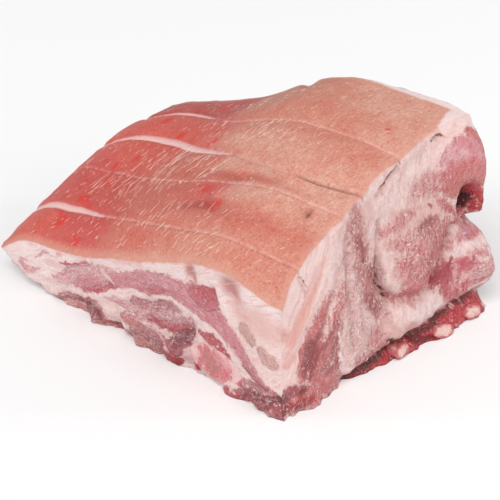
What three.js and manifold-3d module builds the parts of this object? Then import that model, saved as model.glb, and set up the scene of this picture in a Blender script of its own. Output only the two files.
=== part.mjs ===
// Raw pork shoulder with rind and bone, lying on its rib side. Millimetres, +Z up.
// X runs along the long front cut, Y runs from that cut to the back, the origin is under the middle.

import * as THREE from 'three';
import { mergeVertices } from 'three/addons/utils/BufferGeometryUtils.js';
import Module from 'manifold-3d';

const LENGTH = 304; // along the front cut, from the thin tip to the right-hand cut
const WIDTH = 232; // from the front cut to the back
const HEIGHT = 151; // up to the highest point of the rind
const CENTRE_X = -0.04; // middle of the finished outline, moved to the origin
const CENTRE_Y = -1.911;
const CROWN = 4; // swell of the rind between its four edges
const STRIP_ROLL = 9; // width over which a rind strip rolls down to the cut beside it
const CUT_WIDTH = 2.6; // half width of a score cut
const EDGE_ROLL = 1.2; // how far the rind rolls down at its own edges
const EDGE_WIDTH = 2.4;
const CORNER_ROLL = 3.5; // rounding of the upright corner between the two cut faces
const CORNER_REACH = 10;
const RIND_LONG = 290; // over the rind from the left to the right
const RIND_SHORT = [168, 228]; // over the rind from the front to the back, at the left and at the right
const RAGGED = 2.6; // ragged trim along the lower edge
const RAGGED_RISE = 11; // height over which the ragged trim dies out
const GAP = 0.3; // clear space between bone and meat
const OPEN_END = 14; // how many gaps a bone's bed runs on past the sawn end

const CELLS_X = 40;
const CELLS_Z = 18;
const LOW_CROWD = 1.35; // crowds the cells towards the underside, where the trim is ragged
const BONE_SIDES = 20;
const BONE_STEPS = 16;
const RIB_SIDES = 14;
const RIB_STEPS = 6;

// The edges of the rind and the corners of the underside, in shares of the length, width and height.
const RIND_FRONT = [
  [-0.5, -0.5, 0.146],
  [-0.401, -0.496, 0.265],
  [-0.23, -0.5, 0.318],
  [0, -0.504, 0.457],
  [0.263, -0.504, 0.623],
  [0.477, -0.483, 0.55],
];
const RIND_RIGHT = [
  [0.477, -0.483, 0.55],
  [0.457, -0.397, 0.695],
  [0.428, -0.172, 0.815],
  [0.395, 0.103, 0.927],
  [0.356, 0.503, 0.983],
];
const RIND_LEFT = [
  [-0.5, -0.5, 0.146],
  [-0.49, -0.371, 0.284],
  [-0.48, -0.172, 0.452],
  [-0.476, 0.022, 0.566],
  [-0.467, 0.224, 0.6],
];
const RIND_BACK = [
  [-0.467, 0.224, 0.6],
  [-0.378, 0.259, 0.668],
  [-0.194, 0.302, 0.782],
  [0, 0.388, 0.974],
  [0.164, 0.44, 1.004],
  [0.356, 0.503, 0.983],
];
const UNDERSIDE = [
  [-0.306, -0.487, 0],
  [0.493, -0.496, 0],
  [0.48, 0.466, 0],
  [-0.362, 0.198, 0],
];

// Score cuts across the rind. Left, right and bow are shares of the way from front to back, and the bow
// comes late when "late" is large. Hook is how far the cut bends to the front between the left and the
// hook's end. Sag is how far the strips roll down beside the cut. Left of the second gape share the cut
// has drawn open.
const SCORES = [
  {
    left: 0.215, right: 0.131, bow: 0.054, late: 1.9, hook: 0.012, hookEnd: 0.25,
    depth: 0.8, sag: 1.1, gape: [-0.1, 0.33], open: 2.9,
  },
  {
    left: 0.45, right: 0.354, bow: 0.078, late: 1.3, hook: 0.022, hookEnd: 0.25,
    depth: 0.6, sag: 0.9, gape: [0, 0.3], open: 0.45,
  },
  {
    left: 0.72, right: 0.461, bow: 0.12, late: 1.47, hook: 0.04, hookEnd: 0.25,
    depth: 1.7, sag: 2.2, gape: [-0.06, 0.6], open: 3.2,
  },
  {
    left: 0.849, right: 0.659, bow: 0.086, late: 0.98, hook: -0.08, hookEnd: 0.5,
    depth: 1.2, sag: 2.2, gape: [-0.08, 0.33], open: 2.8,
  },
];
const GAPE_DEPTH = 0.5; // how deep an open cut is for its half width
const LEFT_SAG = 0.35; // share of the sag that is left at the thin end
const LEFT_SAG_END = 0.3;
// Creases of the rind, from and to as shares from the left and from the front.
const RIND_FOLDS = [
  { name: 'shaded crease', from: [0.56, 0.4], to: [0.7, 0.352], half: 5, depth: 2 },
  { name: 'shaded crease end', from: [0.7, 0.352], to: [0.9, 0.372], half: 4.5, depth: 1.6 },
  { name: 'red hollow', from: [0.52, 0.228], to: [0.7, 0.203], half: 6, depth: 2.6 },
  { name: 'red hollow end', from: [0.7, 0.203], to: [0.84, 0.206], half: 5, depth: 1.4 },
  { name: 'back nick', from: [0.5, 1.02], to: [0.545, 0.95], half: 4.5, depth: 3 },
];
const FOLD_SPAN = [RIND_LONG, 200]; // turns those shares into lengths
const STRIP_ROWS = [4, 6, 5, 6, 9]; // cells across each strip of rind, front to back

// Swells (+) and hollows (-) of the cut faces: place along the face, height, reach each way, amount.
const RIGHT_SWELLS = [
  { name: 'lean strip', along: -72, up: 40, reach: 14, rise: 40, amount: 1.5 },
  { name: 'silver lobe', along: -33, up: 38, reach: 16, rise: 32, amount: 5 },
  { name: 'round lobe', along: 33, up: 68, reach: 30, rise: 30, amount: 9 },
  { name: 'fat lobe', along: 20, up: 25, reach: 30, rise: 13, amount: 7 },
  { name: 'tail lobe', along: 108, up: 37, reach: 22, rise: 17, amount: 14 },
  { name: 'upper lobe', along: 111, up: 116, reach: 28, rise: 30, amount: 15.5 },
  { name: 'flap', along: 113, up: 78, reach: 7, rise: 13, amount: 5 },
  { name: 'deep hole', along: 100, up: 84, reach: 7, rise: 11, amount: -24 },
  { name: 'notch', along: 112, up: 65, reach: 15, rise: 5, amount: -18 },
  { name: 'tail undercut', along: 114, up: 10, reach: 14, rise: 7, amount: -9 },
  { name: 'rib trim', along: 52, up: 2, reach: 46, rise: 7, amount: 6 },
  { name: 'bare corner', along: -42, up: 2, reach: 18, rise: 8, amount: -5 },
  { name: 'corner rag', along: -96, up: 2, reach: 14, rise: 8, amount: 4 },
];
const RIGHT_FOLDS = [
  { name: 'crevice top', from: [1, 102], to: [-6, 76], half: 5, depth: 3.5 },
  { name: 'crevice', from: [-6, 76], to: [-8, 62], half: 5, depth: 5 },
  { name: 'crevice end', from: [-8, 62], to: [2, 45], half: 6, depth: 5 },
  { name: 'tail groove', from: [80, 68], to: [47, 39], half: 7, depth: 5 },
  { name: 'rib gap corner', from: [-48, 2], to: [0, 9], half: 3.4, depth: 6 },
  { name: 'rib gap', from: [0, 9], to: [98, 15], half: 3.6, depth: 8 },
  { name: 'fat seam', from: [2, 45], to: [40, 35], half: 6, depth: 4 },
];
const FRONT_SWELLS = [
  { name: 'thin tip', along: -118, up: 20, reach: 26, rise: 16, amount: 2 },
  { name: 'oval muscle', along: 23, up: 38, reach: 32, rise: 8, amount: -2 },
  { name: 'lower lean', along: 10, up: 14, reach: 50, rise: 10, amount: 3 },
  { name: 'first hollow', along: 60, up: 79, reach: 7, rise: 10, amount: -3 },
  { name: 'second hollow', along: 98, up: 80, reach: 9, rise: 15, amount: -3.5 },
  { name: 'fat wedge', along: 126, up: 44, reach: 20, rise: 32, amount: 2.5 },
  { name: 'left rag', along: -44, up: 2, reach: 8, rise: 7, amount: 6 },
  { name: 'middle rag', along: 4, up: 1, reach: 8, rise: 7, amount: 4 },
  { name: 'blood rag', along: 38, up: 1, reach: 12, rise: 8, amount: 6 },
  { name: 'bone rag', along: 104, up: 1, reach: 11, rise: 8, amount: 5 },
  { name: 'corner rag', along: 136, up: 1, reach: 14, rise: 8, amount: 4 },
  { name: 'left nick', along: -22, up: 1, reach: 9, rise: 7, amount: -3.5 },
  { name: 'gristle nick', along: 54, up: 1, reach: 10, rise: 8, amount: -3.5 },
  { name: 'tip underside', along: -118, up: 6, reach: 18, rise: 8, amount: 3 },
];
const LEFT_SWELLS = [
  { name: 'rolled fat', along: -60, up: 26, reach: 60, rise: 24, amount: 3 },
  { name: 'tip', along: -116, up: 10, reach: 26, rise: 10, amount: 5 },
  { name: 'back muscle', along: 20, up: 42, reach: 26, rise: 26, amount: 8 },
];
const BACK_SWELLS = [
  { name: 'blade muscle', along: -60, up: 52, reach: 44, rise: 34, amount: 9 },
  { name: 'neck muscle', along: 42, up: 74, reach: 40, rise: 44, amount: 10 },
  { name: 'trim hollow', along: -8, up: 60, reach: 9, rise: 46, amount: -6 },
];

// The breastbone is sawn through at the front cut. Three ribs are sawn through at the right-hand cut.
const BONE = { x: 84, z: 16.5, half: 24.5, thick: 11.5, tilt: -0.14, front: -116.4, back: 62, drift: -14 };
const BONE_JOINTS = 4; // swellings along the breastbone
const RIBS = [
  { name: 'rib_1', y: 6.5, half: 10, thick: 3.5, z: 4, outer: 151 },
  { name: 'rib_2', y: 50, half: 11, thick: 3.7, z: 4.2, outer: 153.6 },
  { name: 'rib_3', y: 87, half: 10, thick: 3.8, z: 4.3, outer: 150.6 },
];
const RIB_INNER = 112; // where the ribs end inside the meat

const wasm = await Module();
wasm.setup();

const mix = (p, q, s) => p + (q - p) * s;
const bell = (away, reach) => Math.exp(-((away / reach) ** 2));

function edgeCurve(shares) {
  const points = shares.map(([x, y, z]) => new THREE.Vector3(x * LENGTH, y * WIDTH, z * HEIGHT));
  return new THREE.CatmullRomCurve3(points, false, 'catmullrom', 0.5);
}

const frontEdge = edgeCurve(RIND_FRONT);
const rightEdge = edgeCurve(RIND_RIGHT);
const leftEdge = edgeCurve(RIND_LEFT);
const backEdge = edgeCurve(RIND_BACK);

// A point inside four corners: front left, front right, back right, back left.
function cornerMix(corners, a, b) {
  const weights = [(1 - a) * (1 - b), a * (1 - b), a * b, (1 - a) * b];
  const point = new THREE.Vector3();
  corners.forEach((corner, k) => point.addScaledVector(corner, weights[k]));
  return point;
}

const rindCorners = [
  frontEdge.getPoint(0),
  frontEdge.getPoint(1),
  backEdge.getPoint(1),
  backEdge.getPoint(0),
];
const underCorners = UNDERSIDE.map(([x, y, z]) => new THREE.Vector3(x * LENGTH, y * WIDTH, z * HEIGHT));

function rindPoint(a, b) {
  const point = cornerMix(rindCorners, a, b).negate();
  point.addScaledVector(frontEdge.getPointAt(a), 1 - b);
  point.addScaledVector(backEdge.getPointAt(a), b);
  point.addScaledVector(leftEdge.getPointAt(b), 1 - a);
  point.addScaledVector(rightEdge.getPointAt(b), a);
  point.z += CROWN * 16 * a * (1 - a) * b * (1 - b);
  return point;
}

// Share of the way to the back at which a score cut crosses the rind.
function scoreLine(score, a) {
  const bow = score.bow * Math.sin(Math.PI * a ** score.late);
  const hook = score.hook * Math.sin(Math.PI * Math.min(1, a / score.hookEnd)) ** 2;
  return mix(score.left, score.right, a) - bow - hook;
}

// Row k of the cells, as a share of the way to the back, following the score cuts.
function rowShare(k, a) {
  let strip = 0;
  let first = 0;
  while (strip < STRIP_ROWS.length - 1 && k > first + STRIP_ROWS[strip]) {
    first += STRIP_ROWS[strip];
    strip += 1;
  }
  const f = (k - first) / STRIP_ROWS[strip];
  const crowded = f - (0.5 * Math.sin(2 * Math.PI * f)) / (2 * Math.PI);
  const near = strip === 0 ? 0 : scoreLine(SCORES[strip - 1], a);
  const far = strip === SCORES.length ? 1 : scoreLine(SCORES[strip], a);
  return mix(near, far, crowded);
}

const rindReach = (a) => mix(RIND_SHORT[0], RIND_SHORT[1], a);

// Half width by which a score cut has drawn open.
function gapeAt(score, a) {
  const share = (a - score.gape[0]) / (score.gape[1] - score.gape[0]);
  return score.open * Math.sin(Math.PI * THREE.MathUtils.clamp(share, 0, 1)) ** 0.8;
}

const rindFolds = RIND_FOLDS.map(({ from, to, half, depth }) => ({
  from: [from[0] * FOLD_SPAN[0], from[1] * FOLD_SPAN[1]],
  to: [to[0] * FOLD_SPAN[0], to[1] * FOLD_SPAN[1]],
  half,
  depth,
}));

function rindRelief(a, b) {
  const edge = Math.min(b * rindReach(a), a * RIND_LONG, (1 - a) * RIND_LONG);
  let relief = foldSum(rindFolds, a * FOLD_SPAN[0], b * FOLD_SPAN[1]) - EDGE_ROLL * bell(edge, EDGE_WIDTH);
  const sagShare = mix(LEFT_SAG, 1, THREE.MathUtils.smoothstep(a, 0, LEFT_SAG_END));
  for (const score of SCORES) {
    const across = (b - scoreLine(score, a)) * rindReach(a);
    relief -= (score.depth + GAPE_DEPTH * gapeAt(score, a)) * bell(across, CUT_WIDTH);
    relief -= score.sag * sagShare * bell(across, STRIP_ROLL);
  }
  return relief;
}

function swellSum(swells, along, up) {
  let sum = 0;
  for (const { along: u, up: v, reach, rise, amount } of swells) {
    sum += amount * bell(along - u, reach) * bell(up - v, rise);
  }
  return sum;
}

function foldSum(folds, along, up) {
  let sum = 0;
  for (const { from, to, half, depth } of folds) {
    const du = to[0] - from[0];
    const dv = to[1] - from[1];
    const s = ((along - from[0]) * du + (up - from[1]) * dv) / (du * du + dv * dv);
    const near = Math.min(1, Math.max(0, s));
    const away = Math.hypot(along - from[0] - du * near, up - from[1] - dv * near);
    sum -= depth * bell(away, half);
  }
  return sum;
}

// Slow uneven waves, the same everywhere they are asked for.
function wobble(p, q, size, seed) {
  const u = p / size + seed;
  const v = q / size - 1.7 * seed;
  return 0.6 * Math.sin(u + 1.3 * Math.sin(0.8 * v + seed)) + 0.4 * Math.sin(1.9 * v + 1.1 * Math.sin(1.4 * u));
}

const ragged = (along, up, seed) => RAGGED * wobble(along, up, 7, seed) * Math.exp(-up / RAGGED_RISE);

function meatPoint(a, k, c) {
  const b = rowShare(k, a);
  const point = cornerMix(underCorners, a, b).lerp(rindPoint(a, b), c);
  const { x, y, z } = point;
  const right = swellSum(RIGHT_SWELLS, y, z) + foldSum(RIGHT_FOLDS, y, z) + ragged(y, z, 1.3);
  const front = swellSum(FRONT_SWELLS, x, z) + ragged(x, z, 0.4);
  const left = swellSum(LEFT_SWELLS, y, z) + ragged(y, z, 2.2);
  const back = swellSum(BACK_SWELLS, x, z) + ragged(x, z, 3.1);
  point.x += right * a ** 8 - left * (1 - a) ** 8;
  point.y += back * b ** 8 - front * (1 - b) ** 8;
  point.z += rindRelief(a, b) * c ** 6;
  const fromCorner = Math.hypot((1 - a) * RIND_LONG, b * rindReach(a));
  const rollShare = THREE.MathUtils.smoothstep(c, 0, 0.15) * (1 - 0.6 * c ** 4);
  const roll = CORNER_ROLL * rollShare * bell(fromCorner, CORNER_REACH);
  point.x -= roll;
  point.y += roll;
  return point;
}

function toManifold(geometry) {
  const plain = geometry.clone();
  plain.deleteAttribute('normal');
  plain.deleteAttribute('uv');
  const merged = mergeVertices(plain, 1e-4);
  const vertProperties = new Float32Array(merged.attributes.position.array);
  const triVerts = new Uint32Array(merged.index.array);
  return new wasm.Manifold(new wasm.Mesh({ numProp: 3, vertProperties, triVerts }));
}

function toGeometry(solid) {
  const { vertProperties, triVerts } = solid.getMesh();
  const geometry = new THREE.BufferGeometry();
  geometry.setAttribute('position', new THREE.BufferAttribute(new Float32Array(vertProperties), 3));
  geometry.setIndex(new THREE.BufferAttribute(new Uint32Array(triVerts), 1));
  return geometry;
}

function meatGeometry() {
  const rows = STRIP_ROWS.reduce((sum, n) => sum + n, 0);
  const box = new THREE.BoxGeometry(1, 1, 1, CELLS_X, rows, CELLS_Z);
  const place = box.attributes.position;
  for (let i = 0; i < place.count; i += 1) {
    const k = Math.round((place.getY(i) + 0.5) * rows);
    const point = meatPoint(place.getX(i) + 0.5, k, (place.getZ(i) + 0.5) ** LOW_CROWD);
    place.setXYZ(i, point.x, point.y, point.z);
  }
  return box;
}

// A bar of rounded sections: section(s, angle) gives the points for s from 0 at one end to 1.
function barGeometry(section, sides, steps) {
  const bar = new THREE.CylinderGeometry(1, 1, 1, sides, steps);
  const place = bar.attributes.position;
  for (let i = 0; i < place.count; i += 1) {
    const centre = Math.hypot(place.getX(i), place.getZ(i)) < 0.5;
    const angle = Math.atan2(place.getZ(i), place.getX(i));
    const point = section(place.getY(i) + 0.5, angle, centre ? 0 : 1);
    place.setXYZ(i, point.x, point.y, point.z);
  }
  return bar;
}

// Section of the breastbone, grown by "spare" to cut its bed in the meat, which opens at the front.
function boneSection(spare) {
  return (s, angle, size) => {
    const mouth = s < 0.001 ? 3 * spare : 0;
    const end = Math.sqrt(1 - Math.max(0, (s - 0.86) / 0.16) ** 2);
    const joint = 1 + 0.06 * Math.cos(2 * Math.PI * BONE_JOINTS * s);
    const half = (BONE.half * mix(1, 0.7, s) * joint * end + spare + mouth) * size;
    const thick = (BONE.thick * mix(1, 0.8, s) * joint * end + spare + mouth) * size;
    const u = half * Math.cos(angle);
    const v = thick * Math.sin(angle);
    const x = BONE.x + BONE.drift * s + u * Math.cos(BONE.tilt) - v * Math.sin(BONE.tilt);
    const z = BONE.z + u * Math.sin(BONE.tilt) + v * Math.cos(BONE.tilt);
    const beyond = s > 0.999 ? spare : s < 0.001 ? -OPEN_END * spare : 0;
    return new THREE.Vector3(x, mix(BONE.front, BONE.back, s) + beyond, z);
  };
}

// Section of a rib, or of its bed, which is open below.
function ribSection(rib, spare) {
  return (s, angle, size) => {
    const swell = 1 + 0.12 * Math.cos(Math.PI * s);
    const y = rib.y - (rib.half * swell + spare) * Math.cos(angle) * size;
    const up = Math.sin(angle);
    const under = spare > 0 && up < 0 ? 2 : 1;
    const z = rib.z + (rib.thick * swell + spare) * up * under * size;
    const beyond = s > 0.999 ? OPEN_END * spare : s < 0.001 ? -spare : 0;
    return new THREE.Vector3(mix(RIB_INNER, rib.outer, s) + beyond, y, z);
  };
}

function bodyMesh(name, geometry, colour, roughness) {
  const material = new THREE.MeshStandardMaterial({ color: colour, roughness, metalness: 0 });
  geometry.translate(-CENTRE_X, -CENTRE_Y, 0);
  geometry.computeVertexNormals();
  const mesh = new THREE.Mesh(geometry, material);
  mesh.name = name;
  return mesh;
}

const roast = new THREE.Group();
roast.name = 'pork_shoulder';

const boneSolid = toManifold(barGeometry(boneSection(0), BONE_SIDES, BONE_STEPS));
const boneBed = toManifold(barGeometry(boneSection(GAP), BONE_SIDES, BONE_STEPS));
let meat = toManifold(meatGeometry()).subtract(boneBed);
for (const rib of RIBS) {
  meat = meat.subtract(toManifold(barGeometry(ribSection(rib, GAP), RIB_SIDES, RIB_STEPS)));
}
roast.add(bodyMesh('meat', toGeometry(meat), 0xd98f80, 0.5));
roast.add(bodyMesh('breast_bone', toGeometry(boneSolid), 0xd8a3a0, 0.5));
for (const rib of RIBS) {
  const solid = toManifold(barGeometry(ribSection(rib, 0), RIB_SIDES, RIB_STEPS));
  roast.add(bodyMesh(rib.name, toGeometry(solid), 0xe6c9bb, 0.5));
}

export default roast;
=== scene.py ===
"""Raw pork shoulder with scored rind, fat, lean and sawn bone, on a pale studio floor."""

import math

import bmesh
import bpy
import numpy as np
from mathutils import Matrix, Vector


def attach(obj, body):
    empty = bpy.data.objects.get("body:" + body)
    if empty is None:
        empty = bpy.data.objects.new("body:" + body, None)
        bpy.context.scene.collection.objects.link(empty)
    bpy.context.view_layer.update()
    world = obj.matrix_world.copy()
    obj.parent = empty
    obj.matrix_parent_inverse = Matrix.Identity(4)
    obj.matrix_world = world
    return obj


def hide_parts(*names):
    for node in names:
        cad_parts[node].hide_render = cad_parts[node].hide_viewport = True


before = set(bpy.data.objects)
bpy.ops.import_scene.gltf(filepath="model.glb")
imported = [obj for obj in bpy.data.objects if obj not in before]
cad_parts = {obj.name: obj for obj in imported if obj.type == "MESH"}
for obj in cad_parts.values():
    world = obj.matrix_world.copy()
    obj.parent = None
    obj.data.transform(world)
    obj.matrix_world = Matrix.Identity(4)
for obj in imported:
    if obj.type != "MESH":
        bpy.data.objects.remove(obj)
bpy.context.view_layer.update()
rng = np.random.default_rng(11)

MM = 0.001

# Sizes in mm, as in the solids. CENTRE is the middle of the base before the roast is centred.
LENGTH, WIDTH, HEIGHT = 304, 232, 151
CENTRE = np.array([-0.04, -1.911, 0.0])
# The rind: its ways across and back, the rise of its middle, the reach of the sag beside a cut, the
# roll of its edges, of the front right and the back right corner, and the fat left bare round it.
RIND_LONG, RIND_SHORT_LEFT, RIND_SHORT_RIGHT, RIND_SHORT_MEAN = 290, 168, 228, 200
CROWN, STRIP_ROLL = 4, 9
EDGE_ROLL, EDGE_REACH = 1.2, 2.4
CORNER_ROLL, CORNER_REACH = 3.5, 10
CAP_DROP, CAP_REACH = 3, 11
BARE_BACK, BARE_CORNER = 8, 11
# The foot of the walls: depth, size and rise of its ragged trim, and how high lumps and tears reach.
RAGGED, RAGGED_SIZE, RAGGED_RISE = 2.6, 7, 11
TRIM_RISE, TORN_RISE = 14, 13
# How far the meat is set back from the ends of the bones.
BONE_SINK, RIB_SINK = 0.6, 2.4

# Cells of the meshes: across, over each strip between the score cuts, and up; across and along the bones.
CELLS_X, CELLS_Z = 170, 70
STRIP_ROWS = (20, 32, 26, 34, 44)
CELLS_Y = sum(STRIP_ROWS)
ROW_CROWDING = 0.6
BONE_CELLS, RIB_CELLS = (44, 18, 60), (14, 12, 24)

# Edges of the rind and corners of the underside, in shares of the length, width and height.
RIND_FRONT = ((-0.5, -0.5, 0.146), (-0.401, -0.496, 0.265), (-0.23, -0.5, 0.318), (0, -0.504, 0.457),
              (0.263, -0.504, 0.623), (0.477, -0.483, 0.55))
RIND_RIGHT = ((0.477, -0.483, 0.55), (0.457, -0.397, 0.695), (0.428, -0.172, 0.815), (0.395, 0.103, 0.927),
              (0.356, 0.503, 0.983))
RIND_LEFT = ((-0.5, -0.5, 0.146), (-0.49, -0.371, 0.284), (-0.48, -0.172, 0.452), (-0.476, 0.022, 0.566),
             (-0.467, 0.224, 0.6))
RIND_BACK = ((-0.467, 0.224, 0.6), (-0.378, 0.259, 0.668), (-0.194, 0.302, 0.782), (0, 0.388, 0.974),
             (0.164, 0.44, 1.004), (0.356, 0.503, 0.983))
UNDERSIDE = ((-0.306, -0.487, 0), (0.493, -0.496, 0), (0.48, 0.466, 0), (-0.362, 0.198, 0))

# Score cuts: left, right and bow as shares of the way back, how late the bow comes, how far the cut
# hooks to the front (to the back below 0) and up to where; depth, half width and sag of the strips
# beside it in mm; the stretch from the left over which the cut gapes, and by what half width; where
# on the way to the right the cut deepens and turns dark with painted shade.
SCORES = (
    {"left": 0.215, "right": 0.131, "bow": 0.054, "late": 1.9, "hook": 0.012, "hook_end": 0.25,
     "depth": 0.8, "half": 0.9, "sag": 1.1, "gape": (-0.1, 0.33), "open": 2.9, "dark": 2},
    {"left": 0.45, "right": 0.354, "bow": 0.078, "late": 1.3, "hook": 0.022, "hook_end": 0.25,
     "depth": 0.6, "half": 0.8, "sag": 0.9, "gape": (0, 0.3), "open": 0.45, "dark": 2},
    {"left": 0.62, "right": 0.461, "bow": 0.085, "late": 2.4, "hook": -0.05, "hook_end": 0.5,
     "depth": 1.7, "half": 1.2, "sag": 2.2, "gape": (-0.06, 0.6), "open": 3.2, "dark": 0.8},
    {"left": 0.865, "right": 0.659, "bow": 0.086, "late": 0.98, "hook": -0.08, "hook_end": 0.5,
     "depth": 1.2, "half": 1.0, "sag": 2.2, "gape": (-0.08, 0.33), "open": 2.8, "dark": 2},
)
# Creases of the rind: from and to as shares from the left and the front, half width and depth in mm.
RIND_FOLDS = (
    ((0.56, 0.4), (0.7, 0.352), 5, 2.0), ((0.7, 0.352), (0.9, 0.372), 4.5, 1.6),
    ((0.52, 0.228), (0.7, 0.203), 6, 2.6), ((0.7, 0.203), (0.84, 0.206), 5, 1.4),
    ((0.926, 0.318), (0.934, 0.296), 2.4, 3), ((0.62, 0.795), (0.76, 0.725), 2, 0.5),
    ((0.5, 1.02), (0.545, 0.95), 4.5, 3),
)

# Swells and hollows of the cut faces: along the face, up, reach along, reach up, amount (mm).
RIGHT_SWELLS = (
    (-72, 40, 14, 40, 1.5), (-33, 38, 16, 32, 5), (33, 68, 30, 30, 9), (20, 25, 30, 13, 7),
    (108, 37, 22, 17, 14), (111, 116, 28, 30, 15.5), (113, 78, 7, 13, 5), (100, 84, 7, 11, -24),
    (112, 65, 15, 5, -18), (114, 10, 14, 7, -9), (52, 2, 46, 7, 6), (-42, 2, 18, 8, -5), (-96, 2, 14, 8, 4),
    (77, 139, 5, 2.2, -6),
)
# Folds of the right-hand cut: from, to, half width, depth (mm).
RIGHT_FOLDS = (
    ((1, 102), (-6, 76), 3, 4), ((-6, 76), (-8, 62), 3, 6), ((-8, 62), (2, 45), 3.4, 6),
    ((80, 68), (47, 39), 4.5, 6), ((2, 45), (40, 35), 4, 4), ((-48, 2), (0, 9), 3, 6),
    ((0, 9), (98, 15), 3.2, 8), ((2, 122), (29, 134), 1.8, 2.4), ((-36, 107), (-43, 30), 2.4, 2.4),
    ((-41, 89), (-97, 10), 2.6, 2), ((-91, 99), (-84, 83), 1.2, 2),
)
FRONT_SWELLS = (
    (-118, 20, 26, 16, 2), (23, 38, 32, 8, -2), (10, 14, 50, 10, 3), (60, 79, 6, 10, -3),
    (98, 80, 8, 15, -3.5), (126, 44, 20, 32, 2.5), (-44, 2, 8, 7, 6), (4, 1, 8, 7, 4), (38, 1, 12, 8, 6),
    (104, 1, 11, 8, 5), (136, 1, 14, 8, 4), (-22, 1, 9, 7, -3.5), (54, 1, 10, 8, -3.5), (-118, 6, 18, 8, 3),
)
LEFT_SWELLS = ((-60, 26, 60, 24, 3), (-116, 10, 26, 10, 5), (20, 42, 26, 26, 8))
BACK_SWELLS = ((-60, 52, 44, 34, 9), (42, 74, 40, 44, 10), (-8, 60, 9, 46, -6))

BONE = {"x": 84, "z": 16.5, "half": 24.5, "thick": 11.5, "tilt": -0.14, "front": -116.4, "back": 62,
        "drift": -14}
BONE_JOINTS = 4
RIBS = (
    {"name": "rib_1", "y": 6.5, "half": 10, "thick": 3.5, "z": 4, "outer": 151.0},
    {"name": "rib_2", "y": 50, "half": 11, "thick": 3.7, "z": 4.2, "outer": 153.6},
    {"name": "rib_3", "y": 87, "half": 10, "thick": 3.8, "z": 4.3, "outer": 150.6},
)
RIB_INNER = 112
RIB_SLANT = 0.8

# Colours as they look in even light, 0 to 255.
RIND_COLOURS = {
    "rose": (201, 92, 80), "brick": (188, 82, 72), "crimson": (194, 80, 76), "salmon": (200, 113, 97),
    "peach": (204, 133, 114), "cream_and_highlight": (210, 153, 135), "dusk_shade": (178, 80, 73), "clay_and_crease_shade": (190, 104, 89),
    "fawn": (190, 130, 113), "scarlet": (206, 46, 38), "slit": (231, 188, 182), "umber_shade": (112, 48, 46),
    "red_crease_shade": (170, 62, 58),
}
FAT_COLOURS = {
    "milk": (238, 216, 214), "blush": (228, 190, 186), "ivory": (236, 208, 203), "crumb": (225, 184, 177),
    "apricot": (221, 162, 149), "shade": (190, 126, 120), "gristle": (214, 164, 164),
    "pearl": (219, 184, 180),
}
LEAN_COLOURS = {
    "pink": (222, 163, 167), "rosy": (213, 148, 154), "damask": (212, 138, 145), "carmine": (204, 114, 122),
    "berry": (196, 96, 103), "wine": (184, 88, 96), "claret": (172, 68, 78), "garnet": (152, 72, 75),
    "maroon": (172, 92, 99), "plum": (142, 72, 80), "brown": (194, 126, 122), "russet": (194, 108, 106),
    "sienna": (168, 92, 92), "rosewood": (202, 116, 114), "grey": (213, 168, 161), "mauve": (208, 128, 127),
    "heather": (191, 129, 132), "lilac_sheen": (219, 161, 166), "silver": (227, 187, 183), "ruby": (182, 56, 62),
    "blood_and_crevice_shade": (120, 22, 30), "pit": (160, 86, 66), "shadow": (112, 58, 60), "hole_shade": (88, 10, 18),
}
BONE_COLOURS = {
    "marrow": (201, 104, 112), "sponge": (173, 117, 109), "bone": (219, 162, 161),
    "cartilage": (215, 152, 152), "flush": (214, 134, 132), "rib": (226, 198, 192),
    "sinew": (226, 188, 186),
}
# Colours of holes and slits, whose edges are crisp; in the holes, the gap above the ribs and the
# crevice they are painted shade.
DEEP_COLOURS = ("hole_shade", "blood_and_crevice_shade", "shadow", "pit")

# Tints that a colour is multiplied by where its texture says so; the folded tint is painted shade,
# laid by the depth of the folds of the right-hand cut.
TINTS = {
    "flushed": (0.98, 0.78, 0.74), "mottled": (0.95, 0.78, 0.74), "faded": (1.07, 1.15, 1.16),
    "scraped": (1.12, 1.22, 1.24), "dimpled": (0.86, 0.76, 0.72), "pored": (0.86, 0.73, 0.69),
    "taut": (1.06, 1.14, 1.16), "clumped": (0.93, 0.78, 0.77), "waxy": (1.03, 1.07, 1.08),
    "crumbled": (0.92, 0.78, 0.77), "specked": (0.92, 0.8, 0.8), "fibrous": (0.82, 0.6, 0.62),
    "glossy": (1.12, 1.26, 1.26), "bruised": (0.84, 0.7, 0.7), "clotted": (0.74, 0.6, 0.62),
    "flecked": (0.74, 0.56, 0.58), "dark_speck": (0.74, 0.55, 0.57), "light_speck": (1.14, 1.34, 1.34),
    "folded": (0.62, 0.42, 0.42), "spongy": (0.8, 0.64, 0.66),
}
# Fixed inputs of the shaders.
MEAT_SHADER = {"Subsurface Weight": 0.1, "Subsurface Radius": (1.0, 0.45, 0.3), "Subsurface Scale": 0.003,
               "Specular IOR Level": 0.5}
BONE_SHADER = {"Specular IOR Level": 0.4}

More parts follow.
